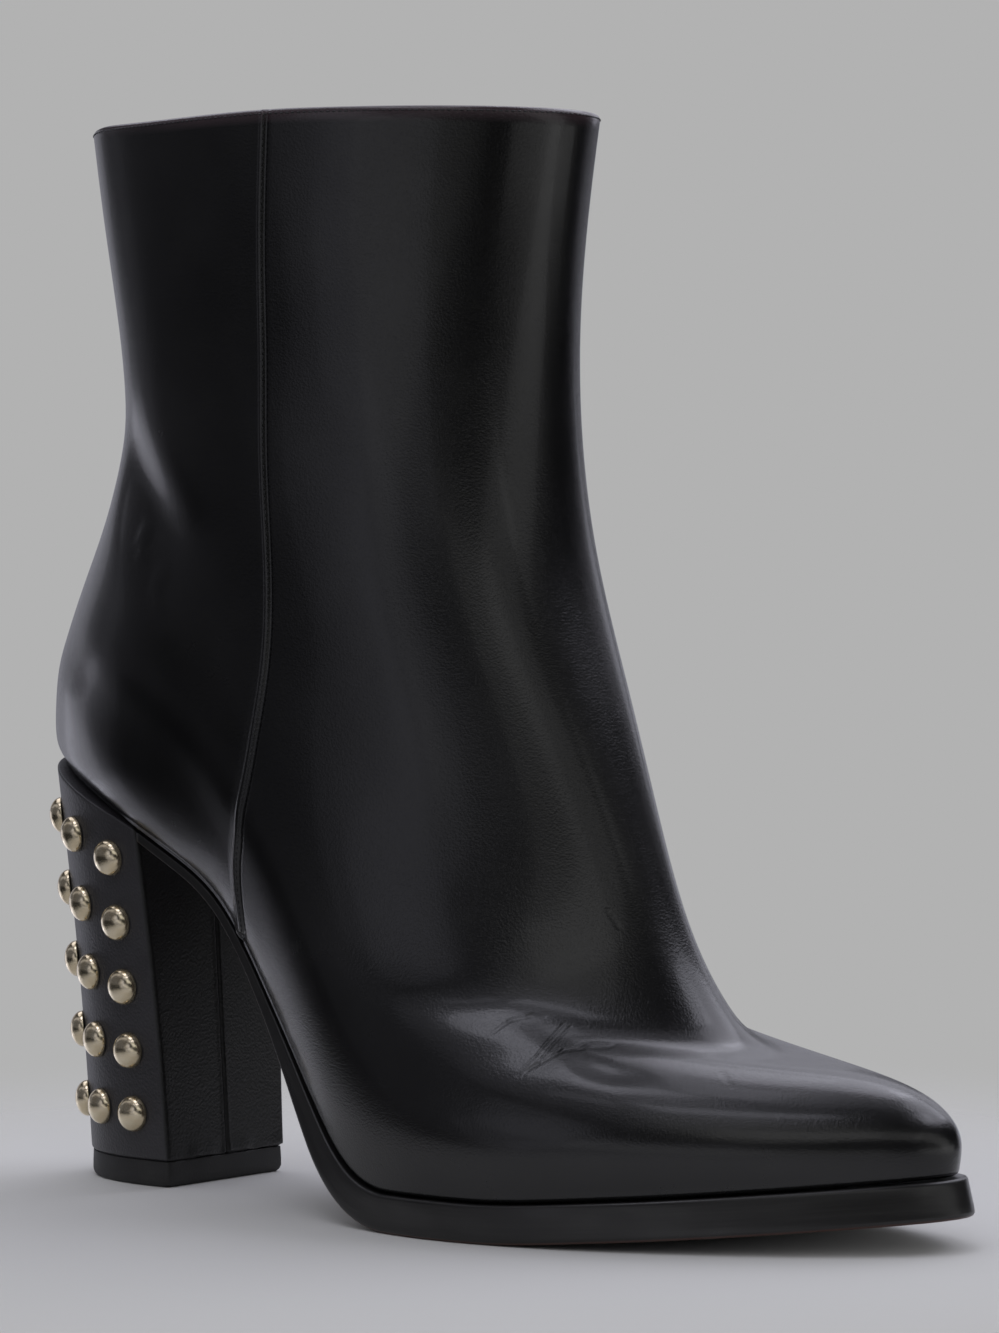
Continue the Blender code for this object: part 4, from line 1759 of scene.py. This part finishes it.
@dataclass
class Studs:
    """Rows of domed studs round the heel's sides and back."""

    heel: Heel
    radius: float = 0.0040
    rise: float = 0.0031
    skirt: float = 0.0003
    rows: int = 5
    columns: int = 7
    first_up: float = 0.131
    row_step: float = 0.1845
    margin: float = 0.0099
    nudge: float = 0.01
    sink: float = 0.00005
    back: float = 0.80
    shoulder: float = 0.97
    shoulder_rise: float = 0.4
    tip_angle: float = 0.06
    sides: int = 40
    rings: int = 12

    def spot(self, up: float, share: float) -> Array:
        """A point on the heel's side.

        Args:
            up: Share of the heel's height.
            share: Share of the way between the outermost columns.

        Returns:
            The point.
        """
        ring = self.heel.ring(up)
        first = self.heel.breast_points
        line = ring[first:len(ring) - first + 1]
        flat = arc_length(line[:, :2])
        stop = self.margin + share * (flat[-1] - 2 * self.margin)
        return np.array([np.interp(stop, flat, line[:, axis]) for axis in range(3)])

    def normal(self, up: float, share: float) -> Array:
        """The direction square to the heel's side.

        Args:
            up: Share of the heel's height.
            share: Share of the way between the outermost columns.

        Returns:
            The unit direction.
        """
        ahead = self.spot(up, share + self.nudge) - self.spot(up, share - self.nudge)
        upward = self.spot(up + self.nudge, share) - self.spot(up - self.nudge, share)
        return unit(np.cross(ahead, upward))

    def dome(self) -> bpy.types.Mesh:
        """Makes the mesh that all studs share.

        Returns:
            The mesh, with its back at z = 0.
        """
        sweep = np.linspace(np.pi / 2, self.tip_angle, self.rings)
        profile = [
            (self.radius * self.back, 0.0),
            (self.radius * self.shoulder, 0.0),
            (self.radius, self.skirt * self.shoulder_rise),
        ]
        profile += [
            (self.radius * math.sin(a), self.skirt + (self.rise - self.skirt) * math.cos(a)) for a in sweep
        ]
        turn = np.linspace(0, 2 * np.pi, self.sides, endpoint=False)
        rings = [np.c_[r * np.cos(turn), r * np.sin(turn), np.full(self.sides, z)] for r, z in profile]
        faces = [list(quad) for quad in ring_quads(len(rings), self.sides)]
        faces.append(list(range(self.sides))[::-1])
        last = (len(rings) - 1) * self.sides
        faces.append(list(range(last, last + self.sides)))
        mesh = bpy.data.meshes.new("stud_dome")
        mesh.from_pydata(np.concatenate(rings).tolist(), [], [list(map(int, face)) for face in faces])
        mesh.shade_smooth()
        return mesh

    def build(self) -> None:
        """Makes and dresses a stud for each node."""
        mesh = self.dome()
        gold = GoldFinish().material()
        for row in range(self.rows):
            for column in range(self.columns):
                up = self.first_up + row * self.row_step
                share = column / (self.columns - 1)
                normal = self.normal(up, share)
                label = f"{row + 1}_{column + 1}"
                stud = bpy.data.objects.new(f"dome_{label}", mesh)
                bpy.context.scene.collection.objects.link(stud)
                place = self.spot(up, share) + self.heel.shift - self.sink * normal
                turn = Vector(normal).to_track_quat("Z", "Y").to_matrix().to_4x4()
                stud.matrix_world = Matrix.Translation(Vector(place)) @ turn
                finish_piece(stud, gold, [f"stud_{label}"])


# Studio

class Tint(Enum):
    """Colour of a soft light."""

    NEUTRAL = (1.0, 1.0, 1.0)
    COOL = (0.97, 0.97, 1.10)


@dataclass(frozen=True)
class SoftBox:
    """A rectangular soft light that faces the boot.

    Its direction is given from the boot: azimuth in degrees from +X towards +Y, and elevation.
    """

    name: str
    azimuth: float
    elevation: float
    distance: float
    width: float
    height: float
    radiance: float
    roll: float = 0.0
    tint: Tint = Tint.NEUTRAL
    aim: tuple[float, float, float] = (0.0, 0.0, 0.10)

    def build(self) -> None:
        """Makes the light."""
        light = bpy.data.lights.new(self.name, "AREA")
        light.shape = "RECTANGLE"
        light.size = self.width
        light.size_y = self.height
        light.energy = self.radiance * math.pi * self.width * self.height
        light.color = self.tint.value
        lamp = bpy.data.objects.new(self.name, light)
        turn = math.radians(self.azimuth)
        climb = math.radians(self.elevation)
        ray = Vector((math.cos(turn) * math.cos(climb), math.sin(turn) * math.cos(climb), math.sin(climb)))
        lamp.location = Vector(self.aim) + ray * self.distance
        lamp.rotation_mode = "QUATERNION"
        facing = (-ray).to_track_quat("-Z", "Y")
        lamp.rotation_quaternion = facing @ Quaternion((0.0, 0.0, 1.0), math.radians(self.roll))
        lamp.visible_camera = False
        bpy.context.scene.collection.objects.link(lamp)


SOFT_BOXES = (
    SoftBox("zenith_panel", 168.0, 88.0, 1.6, 1.75, 1.10, 0.26, roll=-16.0, tint=Tint.COOL),
    SoftBox("zenith_strip", 25.0, 88.0, 1.6, 0.55, 0.19, 1.75, roll=5.0, tint=Tint.COOL),
    SoftBox("high_left", -105.0, 57.0, 1.6, 2.00, 1.20, 0.18, roll=-5.0, tint=Tint.COOL),
    SoftBox("high_left_square", -100.0, 71.0, 1.6, 0.50, 0.50, 2.10, tint=Tint.COOL),
    SoftBox("high_back", 154.0, 57.0, 1.6, 1.25, 1.00, 1.25, roll=-36.0, tint=Tint.COOL),
    SoftBox("high_front_strip", -57.0, 57.0, 1.6, 0.66, 0.16, 2.40, roll=27.0, tint=Tint.COOL),
    SoftBox("high_right_strip", 105.0, 52.0, 1.6, 0.50, 1.00, 1.75, roll=12.0, tint=Tint.COOL),
    SoftBox("left_spark", -88.0, 47.0, 1.6, 0.33, 0.16, 0.95, tint=Tint.COOL),
    SoftBox("high_right", 29.0, 46.0, 1.6, 0.50, 0.50, 2.30, roll=-26.0, tint=Tint.COOL),
    SoftBox("right_panel", 69.0, 43.0, 1.6, 1.30, 0.97, 1.80, roll=-24.0, tint=Tint.COOL),
    SoftBox("front_panel", -51.0, 34.0, 1.6, 0.80, 1.05, 0.30, roll=22.0),
    SoftBox("left_slant", -155.0, 34.0, 1.6, 1.85, 0.26, 0.30, roll=43.0, tint=Tint.COOL),
    SoftBox("back_slant", 120.0, 28.0, 1.6, 2.10, 0.65, 0.63, roll=24.0, tint=Tint.COOL),
    SoftBox("front_strip", -33.0, 26.0, 1.6, 1.60, 0.42, 0.43, roll=-20.0),
    SoftBox("back_fill", 103.0, 22.0, 1.6, 2.05, 0.97, 0.14, roll=-19.0, tint=Tint.COOL),
    SoftBox("left_fill", -144.0, 19.0, 1.6, 2.00, 1.20, 0.08, tint=Tint.COOL),
    SoftBox("left_square", -96.0, 18.0, 1.6, 0.60, 0.60, 0.28, roll=-14.0, tint=Tint.COOL),
    SoftBox("right_slant", 14.0, 9.0, 1.6, 1.55, 0.50, 0.50, roll=-32.0),
    SoftBox("left_low_slant", -96.0, 8.0, 1.6, 1.00, 0.67, 0.20, roll=36.0, tint=Tint.COOL),
    SoftBox("back_left_fill", 169.0, 1.0, 1.6, 1.50, 1.10, 0.08, roll=-42.0, tint=Tint.COOL),
    SoftBox("back_panel", 143.0, -4.0, 1.6, 1.45, 1.20, 0.30, tint=Tint.COOL),
    SoftBox("back_left_square", 171.0, -9.0, 1.6, 0.60, 0.50, 0.60, tint=Tint.COOL),
    SoftBox("low_front_strip", -58.0, -5.0, 1.6, 1.85, 0.40, 0.29, roll=-17.0),
    SoftBox("low_left", -77.0, -6.0, 1.6, 1.35, 0.80, 0.20, roll=17.0, tint=Tint.COOL),
    SoftBox("low_back", 102.0, -10.0, 1.6, 0.80, 0.73, 0.55, roll=5.0, tint=Tint.COOL),
    SoftBox("low_right_strip", 24.0, -10.0, 1.6, 2.15, 0.27, 0.64, roll=3.0),
    SoftBox("under_back", 158.0, -24.0, 1.6, 0.72, 0.60, 0.63, roll=-10.0, tint=Tint.COOL),
    SoftBox("under_left", 179.0, -23.0, 1.6, 0.75, 0.45, 0.55, tint=Tint.COOL),
)


@dataclass
class Studio:
    """Floor, light and camera."""

    shift: Array
    camera_place: tuple[float, float, float] = (0.7990, -0.8545, 0.1480)
    heading: float = 38.34
    pitch: float = 1.758
    focal_pixels: float = 5179.0
    frame_pixels: float = 1333.0
    sensor: float = 36.0
    clip: tuple[float, float] = (0.01, 50.0)
    floor_reach: float = 1.0
    world_light: float = 0.445

    def build_camera(self) -> None:
        """Makes the camera at the photograph's angle."""
        data = bpy.data.cameras.new("camera")
        data.sensor_width = self.sensor
        data.lens = self.focal_pixels / self.frame_pixels * self.sensor
        data.clip_start, data.clip_end = self.clip
        camera = bpy.data.objects.new("camera", data)
        heading = math.radians(self.heading)
        pitch = math.radians(self.pitch)
        ahead = Vector((
            -math.sin(heading) * math.cos(pitch),
            math.cos(heading) * math.cos(pitch),
            -math.sin(pitch),
        ))
        camera.location = Vector(self.camera_place) + Vector(self.shift)
        camera.rotation_mode = "QUATERNION"
        camera.rotation_quaternion = ahead.to_track_quat("-Z", "Y")
        bpy.context.scene.collection.objects.link(camera)
        bpy.context.scene.camera = camera

    def build_floor(self) -> None:
        """Makes the pale floor, which melts into the room."""
        signs = np.array([(-1, -1, 0), (1, -1, 0), (1, 1, 0), (-1, 1, 0)], float)
        floor = mesh_object("floor", signs * self.floor_reach, [(0, 1, 2, 3)])
        floor.data.materials.append(StudioFinish().material())

    def build_world(self) -> None:
        """Makes the pale room behind the boot, which lights it softly and does not mirror in it."""
        world = bpy.data.worlds.new("studio")
        world.use_nodes = True
        background = world.node_tree.nodes["Background"]
        background.inputs["Color"].default_value = (1.0, 1.0, 1.0, 1.0)
        background.inputs["Strength"].default_value = self.world_light
        world.cycles_visibility.glossy = False
        bpy.context.scene.world = world

    def build(self) -> None:
        """Makes the studio."""
        bpy.context.scene.view_settings.view_transform = "Standard"
        self.build_camera()
        self.build_floor()
        self.build_world()
        for box in SOFT_BOXES:
            box.build()


def step_to_solids(heel_breast: float, lift_inset: float) -> Array:
    """The step from the last's frame to the frame of the solids, read off the top piece.

    Args:
        heel_breast: x of the breast at the heel's foot, in the last's frame.
        lift_inset: How far the top piece lies inside the cover.

    Returns:
        The step.
    """
    low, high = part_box("top_piece")
    return np.array([high.x - (heel_breast - lift_inset), (low.y + high.y) / 2, 0.0])


def main() -> None:
    """Builds the boot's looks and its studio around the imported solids."""
    logging.basicConfig(level=logging.INFO, format="%(name)s %(message)s")
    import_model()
    last = Last()
    foot = Heel.sections[0]
    shift = step_to_solids(foot.breast * MM, Heel.lift_inset)
    heel = Heel(last, shift)
    Upper(last, shift).build()
    Insole(last, shift).build()
    Outsole(last, shift).build()
    heel.build()
    Studs(heel).build()
    Studio(shift).build()


if __name__ == "__main__":
    main()
